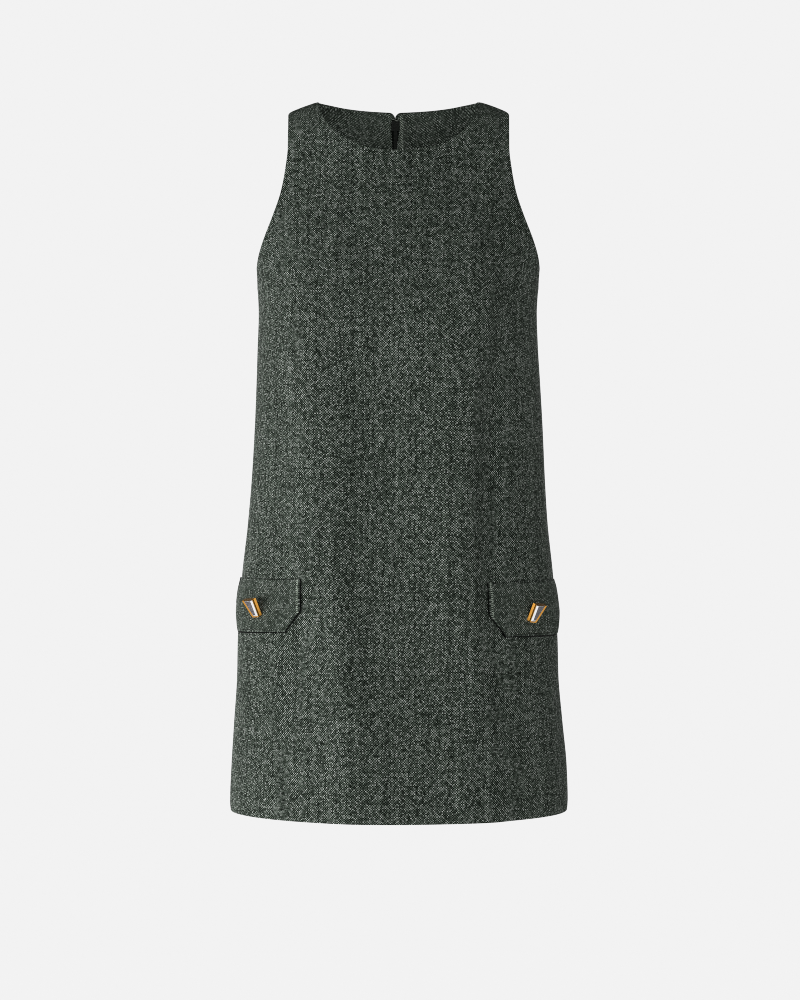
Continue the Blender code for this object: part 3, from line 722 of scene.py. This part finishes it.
# the left facing is painted lighter and the right one darker than the cloth: painted light and painted shade
TWEED_FACING = {-1: tweed("tweed_facing_left_painted_light", lift=1.16, seed=153.0),
                1: tweed("tweed_facing_right_painted_shade", lift=0.86, seed=211.0, whipped=(6.0, 11.0, 1.1, 2.9))}


def plain(name, colour, rough, metallic=0.0, bump=0.0, scale=400.0, coat=0.0, wear=0.0, gloss=0.5):
    g = Graph(name)
    v = g.place()
    n = g.noise(v, scale, 3.0, 0.6)[0]
    lo = tuple(c * (1 - wear) for c in colour)
    hi = tuple(min(1.0, c * (1 + wear)) for c in colour)
    g.set(Base_Color=g.ramp(n, [(0.3, lo), (0.7, hi)]), Metallic=metallic,
          Roughness=g.span(n, 0.3, 0.7, rough * 0.8, rough * 1.25))
    if bump:
        g.set(Normal=g.bump(n, 0.4, bump))
    g.shader.inputs["Coat Weight"].default_value = coat
    g.shader.inputs["Specular IOR Level"].default_value = gloss
    return g.mat


GOLD = plain("gilt_metal", (0.66, 0.30, 0.035), 0.24, 1.0, 0.00002, 900.0, wear=0.12)
# a lighter copy of the gilt for the walls that face the light: painted light
GOLD_PAINTED_LIGHT = plain("gilt_painted_light", (0.92, 0.43, 0.07), 0.26, 0.8, 0.00002, 900.0, wear=0.10)
# a dull dark copy of the gilt for the top walls: painted shade
GOLD_PAINTED_SHADE = plain("gilt_painted_shade", (0.20, 0.095, 0.010), 0.62, 0.15, 0.00002, 900.0, wear=0.15, gloss=0.1)
# a near-black copy of the gilt for the pocket round the stone and the shank: painted shade
GOLD_POCKET_SHADE = plain("gilt_painted_pocket_shade", (0.060, 0.030, 0.008), 0.5, 0.6, 0.00002, 900.0, wear=0.15)
YARN = plain("button_yarn", (0.020, 0.026, 0.020), 0.85, 0.0, 0.00006, 4000.0, wear=0.4)
BLACK = plain("zip_black", (0.006, 0.008, 0.006), 0.48, 0.0, 0.00002, 1500.0, wear=0.2, gloss=0.25)
ENAMEL = plain("zip_enamel", (0.012, 0.014, 0.013), 0.28, 0.2, 0.00001, 700.0, coat=0.4, wear=0.1)
THREAD = plain("thread", (0.34, 0.37, 0.32), 0.75, 0.0, 0.00003, 3000.0, wear=0.2)


def tape_material():
    """Twill-woven tape: fine slanting ribs."""
    g = Graph("zip_tape")
    x, y, z = g.xyz(g.place())
    rib = g.math("SINE", g.math("MULTIPLY", g.math("ADD", z, g.math("MULTIPLY", x, 0.6)), 2 * math.pi / 0.0009))
    line = g.math("SINE", g.math("MULTIPLY", x, 2 * math.pi / 0.0008))
    h = g.math("ADD", g.math("MULTIPLY", rib, 0.5), g.math("MULTIPLY", line, 0.3))
    n = g.noise(g.place(), 900.0, 3.0, 0.6)[0]
    g.set(Base_Color=g.ramp(g.math("ADD", g.math("MULTIPLY", h, 0.25), n), [
        (0.2, (0.003, 0.005, 0.003)), (0.9, (0.013, 0.018, 0.013))]),
        Roughness=0.85, Normal=g.bump(h, 0.5, 0.00012))
    g.shader.inputs["Specular IOR Level"].default_value = 0.10
    g.shader.inputs["Sheen Weight"].default_value = 0.03
    return g.mat


TAPE = tape_material()


def stone_materials():
    """Foil-backed crystal: a smoky table and bright bevels, the lower bevel with a faint glow of painted light."""
    g = Graph("grey_stone")
    v = g.place()
    n = g.noise(v, 620.0, 2.0, 0.55)
    g.set(Base_Color=g.ramp(n[0], [(0.36, (0.04, 0.038, 0.038)), (0.44, (0.20, 0.165, 0.22)),
                                   (0.51, (0.07, 0.095, 0.045)), (0.62, (0.30, 0.24, 0.33))]),
          Roughness=0.12, Metallic=0.0)
    g.shader.inputs["Specular IOR Level"].default_value = 0.42
    g.shader.inputs["Coat Weight"].default_value = 0.1
    g.shader.inputs["Coat Roughness"].default_value = 0.05
    b = Graph("bright_facet")
    m = b.noise(b.place(), 300.0, 2.0, 0.5)
    b.set(Base_Color=b.ramp(m[0], [(0.3, (0.86, 0.87, 0.89)), (0.7, (0.99, 0.99, 0.99))]),
          Roughness=0.10, Metallic=0.95)
    b.shader.inputs["Coat Weight"].default_value = 0.8
    b.shader.inputs["Coat Roughness"].default_value = 0.04
    # the lower bevel glows faintly: painted light
    c = Graph("facet_painted_glow")
    m = c.noise(c.place(), 500.0, 2.0, 0.5)
    c.set(Base_Color=c.ramp(m[0], [(0.3, (0.90, 0.90, 0.92)), (0.7, (1.0, 1.0, 1.0))]),
          Roughness=0.35, Metallic=0.0)
    c.shader.inputs["Coat Weight"].default_value = 0.8
    c.shader.inputs["Coat Roughness"].default_value = 0.15
    c.shader.inputs["Emission Color"].default_value = (0.9, 0.92, 0.95, 1.0)
    c.shader.inputs["Emission Strength"].default_value = 0.22
    return g.mat, b.mat, c.mat


STONE, FACET, FACET_GLOW = stone_materials()

# ------------------------------------------------------------------ the cloth
u_front = spread("front", 48, 26)
both = np.concatenate([-u_front[:0:-1], u_front])
front, front_p, front_n = panel_piece("front_cloth", "front", both, 110, 78, TWEED)
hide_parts("front_panel")
u_back = spread("back", 48, 26)
backs = {}
for side_name, side in (("left", -1.0), ("right", 1.0)):
    piece, _, _ = panel_piece("back_cloth_" + side_name, "back", side * u_back, 110, 78,
                              TWEED_BACK, flip=side > 0, centre_side=side)
    backs[side_name] = piece
    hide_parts("back_panel_" + side_name)


def on_back(side, x, z, on_ridge=False):
    """Point and outward normal of the back at a distance x from its centre line."""
    share = x / (float(edge_x(z)) if z < -14 else SHOULDER_TIP)
    lean = float(zip_x(z)) * (1 - share)
    if on_ridge:
        n = np.array([side * SHOULDER_SLOPE, 0.0, 1.0])
        return np.array([side * x + float(centre_x(z)) + lean, 0.0, float(ridge(x))]), n / np.linalg.norm(n)
    d = 0.4
    y = float(depth("back", x, z))
    gx = -float(squared_depth("back", x + d, z) - squared_depth("back", x - d, z)) / (2 * d)
    gz = -float(squared_depth("back", x, z + d) - squared_depth("back", x, z - d)) / (2 * d)
    n = np.array([side * gx, 2 * y, gz])
    return np.array([side * x + float(centre_x(z)) + lean, y, z]), n / np.linalg.norm(n)


FACING = dict(deep=66.0, shoulder=31.0, cloth=1.5, gap=2.0)
FACING_EDGE = {-1: (3.3, 1.7), 1: (1.7, 2.2)}      # clear of the chain, and more round the slider
facings = {}
for side_name, side in (("left", -1.0), ("right", 1.0)):
    rows, cols = 34, 60
    outer, inner, uv = (np.zeros((rows + 1, cols + 1, k)) for k in (3, 3, 2))
    for c in range(cols + 1):
        turn = (1 - (1 - c / cols) ** 1.5) * math.pi / 2
        neck_x = NECK_HALF * math.sin(turn)
        neck_z = -NECK_DROP_BACK * math.cos(turn) ** 3 + 0.15 - 0.25 * math.sin(turn) ** 12
        low_x = (NECK_HALF + FACING["shoulder"]) * math.sin(turn)
        low_z = (float(ridge(NECK_HALF + FACING["shoulder"])) * math.sin(turn) ** 3
                 - FACING["deep"] * math.cos(turn))
        for r in range(rows + 1):
            b = r / rows
            x = neck_x + (low_x - neck_x) * b
            z = min(neck_z + (low_z - neck_z) * b, float(ridge(x)))
            edge = FACING_EDGE[side][0] + FACING_EDGE[side][1] * float(smooth(-44.0, -22.0, z))
            edge -= 1.2 * float(smooth(-14.0, -6.0, z))
            x = edge + x * (1 - edge / (NECK_HALF + FACING["shoulder"] * b))
            # the corner by the zip is rounded like the shell's
            gap_x = min(max(x - 2.0, 0.0), CORNER)
            z -= (CORNER - math.sqrt(CORNER ** 2 - (CORNER - gap_x) ** 2)) * (1 - b) ** 6
            p, n = on_back(side, x, z, c == cols)
            if c == 0:
                n[0] = 0.0
                n /= np.linalg.norm(n)
            # the facing lies close under the neck edge and looser lower down
            gap = CLOTH + FACING["gap"] * (0.05 + 0.95 * float(smooth(0.0, 0.35, b))) + 0.5 * math.sin(turn) ** 3
            if c < 3:
                gap = max(gap, CLOTH + FACING["gap"])
            for grid, by in ((outer, gap), (inner, gap + FACING["cloth"])):
                q = p - n * by
                q[1] = max(q[1], SEAM / 2)
                grid[r, c] = q
            uv[r, c] = (side * x * 1.12, z - 0.4 * x)
    facings[side_name] = wall("facing_cloth_" + side_name, outer[::-1], inner[::-1], uv[::-1],
                              TWEED_FACING[side], roll=0.5, flip=side > 0)
    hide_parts("back_facing_" + side_name)



def cord(name, path, radius, mat, sides=10):
    """A thread along a path."""
    path = np.array(path, float)
    verts, faces = [], []
    for k, p in enumerate(path):
        t = path[min(k + 1, len(path) - 1)] - path[max(k - 1, 0)]
        t /= np.linalg.norm(t)
        a = np.cross(t, (0.0, 1.0, 0.0))
        a /= np.linalg.norm(a)
        b = np.cross(t, a)
        for j in range(sides):
            q = 2 * math.pi * j / sides
            r = radius * (0.55 if k in (0, len(path) - 1) else 1.0)
            verts.append(p + r * (a * math.cos(q) + b * math.sin(q)))
    for k in range(len(path) - 1):
        for j in range(sides):
            m = (j + 1) % sides
            faces.append((k * sides + j, (k + 1) * sides + j, (k + 1) * sides + m, k * sides + m))
    faces.append(tuple(range(sides)))
    faces.append(tuple((len(path) - 1) * sides + j for j in reversed(range(sides))))
    return mesh_object(name, np.array(verts), faces, mat=mat)


# a worked thread eye holds the two corners together above the slider
eye_y = float(on_back(1, 5.0, -11.0)[0][1]) - CLOTH - FACING["gap"] - FACING["cloth"] - 0.75
eye_path = [(-4.1 + 4.6 * math.sin(t), eye_y - 0.35 * math.cos(t), -10.6 - 1.5 * math.sin(t) - 0.6 * math.cos(t))
            for t in np.linspace(-1.35, 1.35, 13)]
eye = cord("thread_eye", eye_path, 0.48, THREAD)

# ------------------------------------------------------------------ flaps
flap_pieces = {}
for side_name, side, front_x, tf, ts, bf, bs, along, up in FLAPS:
    face_of = column(FLAP_FACE[side_name], 1)
    FLAP_WIDTH = 139.0
    if side > 0:                      # a little further round than its solid
        front_x, FLAP_WIDTH, along = front_x + 3.0, 136.0, along - 1.5
    else:
        along, up = along + 5.0, up + 4.0
    flat_rows, corner_rows, cols = 44, 22, 96
    outer, inner, uv = [], [], []
    for r in range(flat_rows + corner_rows + 1):
        corner = up / (tf - bf)
        if r <= flat_rows:
            down, cut = (r / flat_rows) * (1 - corner), 0.0
        else:
            k = (r - flat_rows) / corner_rows
            down, cut = 1 - (1 - k) * corner, along * k
        ro, ri, ru = [], [], []
        zs, us = [], []
        for c in range(cols + 1):
            s = cut + (FLAP_WIDTH - 2 * cut) * c / cols
            q = s / FLAP_WIDTH
            z = (tf + (ts - tf) * q) * (1 - down) + (bf + (bs - bf) * q) * down
            zs.append(z)
            us.append(s)
        zs = np.array(zs)
        start, length = u_at_x("front", front_x, float(zs[0]))
        u = side * np.minimum(start + np.array(us) / length, 0.9995)
        p, n = surface("front", u, zs)
        s = np.array(us)
        edge = np.minimum(s - cut, FLAP_WIDTH - cut - s)
        swell = 0.80 + 0.20 * smooth(0.0, 7.0, edge)
        high = FLAP_BACK + (float(face_of(down)) - FLAP_BACK) * swell
        # a soft waviness along the free edges
        high = high + 0.28 * np.sin(s / 17.0 + side) * down
        # the front edge and the lower edge stand a little off the skirt
        free = (1 - smooth(0.0, 9.0, s - cut)) * smooth(0.0, 0.22, down)
        low = smooth(0.80, 1.0, down) * (1 - 0.5 * smooth(80.0, 130.0, s))
        lift_by = 1.3 * free + 0.9 * low * (1 - free)
        back = FLAP_BACK + 1.0 * lift_by
        high = high + 0.45 * lift_by
        # the under layer peeps out past the front and lower edges, and its slanted rim carries the painted shadow
        peep_s = s - (2.5 if side > 0 else 3.0) * (1 - smooth(0.0, 5.0, s - cut))
        peep_low = 2.5 + 1.1 * smooth(25.0, 80.0, s)
        peep_z = zs - peep_low * float(smooth(0.93, 1.0, down))
        if side > 0:
            peep_z = peep_z + 0.7 * float(1 - smooth(0.0, 0.03, down))
        peep_u = side * np.minimum(start + peep_s / length, 0.9995)
        p2, n2 = surface("front", peep_u, peep_z)
        outer.append(p + n * high[:, None])
        inner.append(p2 + n2 * back[:, None])
        uv.append(np.stack([side * s, zs], -1))
    outer, inner, uv = np.array(outer)[::-1], np.array(inner)[::-1], np.array(uv)[::-1]
    # the flap's edge faces get the near-black tweed of painted shadow
    piece = wall("flap_cloth_" + side_name, outer, inner, uv, TWEED_FLAP, roll=1.3, flip=side < 0,
                 edge_shadow_mat=TWEED_EDGE_SHADOW)
    flap_pieces[side_name] = piece
    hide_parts("pocket_flap_" + side_name)

# ------------------------------------------------------------------ jewel buttons
BUTTONS = (
    # name, side, x, y, z of the middle of the face, turned out, droop, roll
    ("left", -1, -167.5, -79.3, -589.7, 45.0, 30.0, 5.0),
    ("right", 1, 158.1, -88.2, -595.2, 45.0, 30.0, 5.0),
)
BUTTON = dict(top=19.0, bottom=11.2, height=22.9, thick=4.9, pocket=2.4, shank=2.1, shank_long=6.4)


def button_place(side, x, y, z, turned, droop, roll):
    a, d, r = math.radians(turned) * side, math.radians(droop), math.radians(roll) * side
    n = np.array([math.sin(a) * math.cos(d), -math.cos(a) * math.cos(d), -math.sin(d)])
    flat = np.array([math.cos(a), math.sin(a), 0.0])
    up = np.cross(n, flat)
    right = flat * math.cos(r) - up * math.sin(r)
    up = np.cross(n, right)
    frame_of = np.column_stack([right, up, n])
    return lambda local: frame_of @ np.array(local, float) + np.array([x, y, z])


def taper_loop(insets, round_by, z, bend=4):
    """Tapered outline, each side drawn in by its own inset, with rounded corners."""
    t, w, h = BUTTON["top"] / 2, BUTTON["bottom"] / 2, BUTTON["height"] / 2
    corners = [np.array(c) for c in ((-w, -h), (w, -h), (t, h), (-t, h))]
    lines = []
    for k in range(4):                     # bottom, right, top, left
        p, q = corners[k], corners[(k + 1) % 4]
        d = (q - p) / np.linalg.norm(q - p)
        inward = np.array([-d[1], d[0]])
        lines.append((p + inward * insets[k], d))
    points = []
    for k in range(4):
        (p, d), (q, e) = lines[k - 1], lines[k]
        s = np.linalg.solve(np.column_stack([d, -e]), q - p)[0]
        corner = p + d * s
        for j in range(bend + 1):
            f = j / bend
            back, ahead = corner - d * round_by * 1.2, corner + e * round_by * 1.2
            points.append((1 - f) ** 2 * back + 2 * f * (1 - f) * corner + f * f * ahead)
    return [(float(a), float(b), z) for a, b in points], bend + 1


def loft(name, place, loops, per, mats, wall_of, closed_ends=(True, True), extra=()):
    """Skin stacked loops; wall_of(band, side) names the material of each face."""
    verts, faces, which = [], [], []
    count = len(loops[0])
    for loop in loops:
        verts += [place(p) for p in loop]
    for band in range(len(loops) - 1):
        for k in range(count):
            a, b = band * count + k, band * count + (k + 1) % count
            side = (k // per) if k % per < per - 1 else (k // per)
            mid = k % per == per - 1
            faces.append((a, b, b + count, a + count))
            which.append(wall_of(band, side if mid else (side if k % per >= per // 2 else (side - 1) % 4)))
    if closed_ends[0]:
        faces.append(tuple(range(count))[::-1])
        which.append(wall_of(-1, 0))
    if closed_ends[1]:
        faces.append(tuple(range((len(loops) - 1) * count, len(loops) * count)))
        which.append(wall_of(len(loops) - 1, 0))
    for more_verts, more_faces, mat in extra:
        start = len(verts)
        verts += [place(p) for p in more_verts]
        faces += [tuple(start + k for k in f) for f in more_faces]
        which += [mat] * len(more_faces)
    obj = mesh_object(name, np.array(verts), faces, smooth_all=False)
    obj.data.materials.clear()
    for m in mats:
        obj.data.materials.append(m)
    for poly, m in zip(obj.data.polygons, which):
        poly.material_index = m
    return obj


def tube(points, radii, sides=16):
    verts, faces = [], []
    for (x, y, z), r in zip(points, radii):
        for k in range(sides):
            t = 2 * math.pi * k / sides
            verts.append((x + r * math.cos(t), y + r * math.sin(t), z))
    for i in range(len(points) - 1):
        for k in range(sides):
            a, b = i * sides + k, i * sides + (k + 1) % sides
            faces.append((a, b, b + sides, a + sides))
    faces.append(tuple(range(sides))[::-1])
    faces.append(tuple(range((len(points) - 1) * sides, len(points) * sides)))
    return verts, [f[::-1] for f in faces]


frames, stones = {}, {}
for side_name, side, bx, by, bz, turned, droop, roll_by in BUTTONS:
    place = button_place(side, bx, by, bz, turned, droop, roll_by)
    inner_wide, outer_wide, top_wide, bottom_wide = 0.35, 3.3, 0.45, 1.3
    right_wide, left_wide = (inner_wide, outer_wide) if side < 0 else (outer_wide, inner_wide)
    rim = np.array([bottom_wide, right_wide, top_wide, left_wide])
    inner_side, outer_side = (1, 3) if side < 0 else (3, 1)
    T = BUTTON["thick"]
    flare = np.zeros(4)
    flare[inner_side] = 1.0
    steps = [(-T, 0.3 - 1.2 * flare, 0.6), (-T + 0.2, 0.05 - 1.15 * flare, 0.6), (-T + 0.5, 0.0 - 1.0 * flare, 0.5),
             (-2.1, 0.0 * rim, 0.5), (-0.35, 0.0 * rim, 0.5), (-0.12, 0.08 + 0 * rim, 0.5), (0.0, 0.2 + 0 * rim, 0.45),
             (0.0, rim - 0.12, 0.4), (-0.12, rim, 0.4), (-BUTTON["pocket"], rim + 0.05, 0.4)]
    loops = []
    for z, insets, bend_by in steps:
        loop, per = taper_loop(insets, bend_by, z)
        loops.append(loop)

    # painted light and shade: parts of the inner and lower walls take the lighter gilt, the top walls and a band of
    # the inner wall the darker gilt, and the pocket the near-black gilt
    def frame_wall(band, at, inner_side=inner_side, outer_side=outer_side):
        if band >= 7:
            return 3                                   # the shadowed pocket
        if band in (0, 1, 2):
            return {inner_side: 1, 2: 2}.get(at, 0)
        if band == 3:
            return {inner_side: 2, 2: 2}.get(at, 0)
        return {0: 1, 2: 2}.get(at, 0)

    # the shank takes the near-black gilt of painted shade
    stem_v, stem_f = tube([(0, 1.0, -T + 0.05), (0, 1.0, -T - 0.5), (0, 1.0, -T - 0.9), (0, 1.0, -T - BUTTON["shank_long"])],
                          [2.9, 2.7, 2.1, 2.0])
    wound = [], []
    for k in range(9):
        z = -T - 1.6 - 0.56 * k
        v, f = tube([(0, 1.0, z + 0.26), (0, 1.0, z + 0.1), (0, 1.0, z - 0.1), (0, 1.0, z - 0.26)],
                    [2.05, 2.32, 2.32, 2.05], 14)
        wound[1].extend(tuple(len(wound[0]) + i for i in face) for face in f)
        wound[0].extend(v)
    obj = loft("jewel_frame_" + side_name, place, loops, per, (GOLD, GOLD_PAINTED_LIGHT, GOLD_PAINTED_SHADE, GOLD_POCKET_SHADE, YARN),
               frame_wall, extra=((stem_v, stem_f, 3), (wound[0], wound[1], 4)))
    frames[side_name] = obj
    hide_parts("button_frame_" + side_name)

    cut = np.array([2.1, 0.0, 0.4, 0.0])
    cut[inner_side], cut[outer_side] = 2.35, 1.1
    P = BUTTON["pocket"]
    fit = rim + 0.14
    fit[inner_side] += 0.25
    steps = [(-P + 0.1, fit, 0.35), (-0.30, fit, 0.35), (-0.18, fit + 0.05, 0.35),
             (0.98, fit + cut, 0.15), (1.02, fit + cut + 0.12, 0.12)]
    loops = []
    for z, insets, bend_by in steps:
        loop, per = taper_loop(insets, bend_by, z, 2)
        loops.append(loop)

    # the lower bevel takes the glowing facet of painted light
    def stone_wall(band, at):
        return (2 if at == 0 else 1) if band in (2, 3) else 0

    obj = loft("jewel_stone_" + side_name, place, loops, per, (STONE, FACET, FACET_GLOW), stone_wall)
    stones[side_name] = obj
    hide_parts("button_stone_" + side_name)

# ------------------------------------------------------------------ zip pieces keep their solids
for node, mats in (("zip_tape", TAPE), ("zip_chain", BLACK), ("zip_slider", BLACK), ("zip_pull", ENAMEL)):
    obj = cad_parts[node]
    for s in obj.material_slots:
        s.material = mats

# ------------------------------------------------------------------ riding
for piece in (front, *backs.values(), *facings.values(), *flap_pieces.values()):
    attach(piece, "root")
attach(eye, "root")
for side_name in ("left", "right"):
    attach(frames[side_name], "root")
    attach(stones[side_name], "root")

# ------------------------------------------------------------------ stage, light, camera
scene = bpy.context.scene
scene.view_settings.view_transform = "Standard"
scene.view_settings.look = "None"
scene.view_settings.exposure = 0.0
scene.view_settings.gamma = 1.0
# a denoiser would smear the weave, which is as fine as the picture's own grid
scene.cycles.use_denoising = False
scene.cycles.filter_width = 1.0
scene.cycles.use_adaptive_sampling = False
scene.cycles.sample_clamp_indirect = 2.0
PAPER = 0.887            # the pale ground of the photo

world = bpy.data.worlds.new("studio")
scene.world = world
world.use_nodes = True
wt = world.node_tree
bg = wt.nodes["Background"]
bg.inputs["Color"].default_value = (1.0, 1.0, 1.0, 1.0)
path = wt.nodes.new("ShaderNodeLightPath")
amb = wt.nodes.new("ShaderNodeMapRange")
wt.links.new(path.outputs["Is Diffuse Ray"], amb.inputs[0])
# what the metal mirrors: a pale room, dim overhead
way = wt.nodes.new("ShaderNodeTexCoord")
parts = wt.nodes.new("ShaderNodeSeparateXYZ")
wt.links.new(way.outputs["Generated"], parts.inputs[0])
overhead = wt.nodes.new("ShaderNodeMapRange")
wt.links.new(parts.outputs[2], overhead.inputs[0])
for k, value in zip((1, 2, 3, 4), (0.05, 0.45, PAPER, 0.08)):
    overhead.inputs[k].default_value = value
pick = wt.nodes.new("ShaderNodeMix")
wt.links.new(path.outputs["Is Glossy Ray"], pick.inputs[0])
pick.inputs[2].default_value = PAPER
wt.links.new(overhead.outputs[0], pick.inputs[3])
wt.links.new(pick.outputs[0], amb.inputs[3])
amb.inputs[4].default_value = 0.08
wt.links.new(amb.outputs[0], bg.inputs["Strength"])


def floor():
    g = Graph("floor_paper")
    n = g.noise(g.place(), 3.0, 2.0, 0.5)[0]
    g.set(Base_Color=(0.004, 0.004, 0.004, 1.0), Roughness=1.0,
          Emission_Color=g.ramp(n, [(0.3, (0.999, 0.999, 0.999)), (0.7, (1.0, 1.0, 1.0))]),
          Emission_Strength=0.886)
    # the paper glows for the picture, and throws little light up the skirt
    ray = g.tree.nodes.new("ShaderNodeLightPath").outputs
    g.put(g.shader.inputs["Emission Strength"], g.span(ray["Is Diffuse Ray"], 0.0, 1.0, 0.886, 0.10))
    g.shader.inputs["Specular IOR Level"].default_value = 0.0
    bm = bmesh.new()
    bmesh.ops.create_circle(bm, cap_ends=True, radius=2.6, segments=96)
    mesh = bpy.data.meshes.new("floor")
    bm.to_mesh(mesh)
    bm.free()
    obj = link(bpy.data.objects.new("floor", mesh))
    obj.location = (0, 0, -1.45)
    mesh.materials.append(g.mat)
    return obj


floor()


def area_light(name, where, aim, size, power, colour=(1, 1, 1)):
    data = bpy.data.lights.new(name, "AREA")
    data.shape = "RECTANGLE"
    data.size, data.size_y = size
    data.energy = power
    data.color = colour
    obj = link(bpy.data.objects.new(name, data))
    obj.visible_camera = False
    obj.location = where
    d = np.array(aim) - np.array(where)
    from mathutils import Vector
    obj.rotation_euler = Vector(d).to_track_quat("-Z", "Y").to_euler()
    return obj


area_light("front_big", (0.86, -2.9, -0.45), (0.0, 0.0, -0.45), (1.6, 2.0), 18.0)
area_light("top_front", (-0.35, -2.3, 1.6), (0.0, 0.0, -0.5), (1.4, 0.9), 2.0)
area_light("low_front", (-0.25, -1.35, -1.36), (0.0, 0.0, -0.75), (1.5, 0.5), 3.0)
area_light("side_left", (-2.96, -0.62, -1.0), (0.0, 0.0, -0.55), (2.0, 0.85), 45.0)
area_light("low_left", (-1.9, -2.2, -1.05), (0.0, 0.0, -0.55), (1.2, 0.7), 7.0)
area_light("back_right", (0.7, 3.0, 0.2), (0.0, 0.0, -0.45), (1.6, 2.0), 26.0)
area_light("back_left", (-1.6, 2.6, 0.0), (0.0, 0.0, -0.45), (1.3, 2.0), 22.0)

cam_data = bpy.data.cameras.new("camera")
cam_data.lens = 36.0 * 3.0 / 1.17
cam_data.sensor_width = 36.0
cam = link(bpy.data.objects.new("camera", cam_data))
cam.location = (0.0019, -3.0, -0.4657)
cam.rotation_euler = (math.pi / 2, 0.0, 0.0)
scene.camera = cam
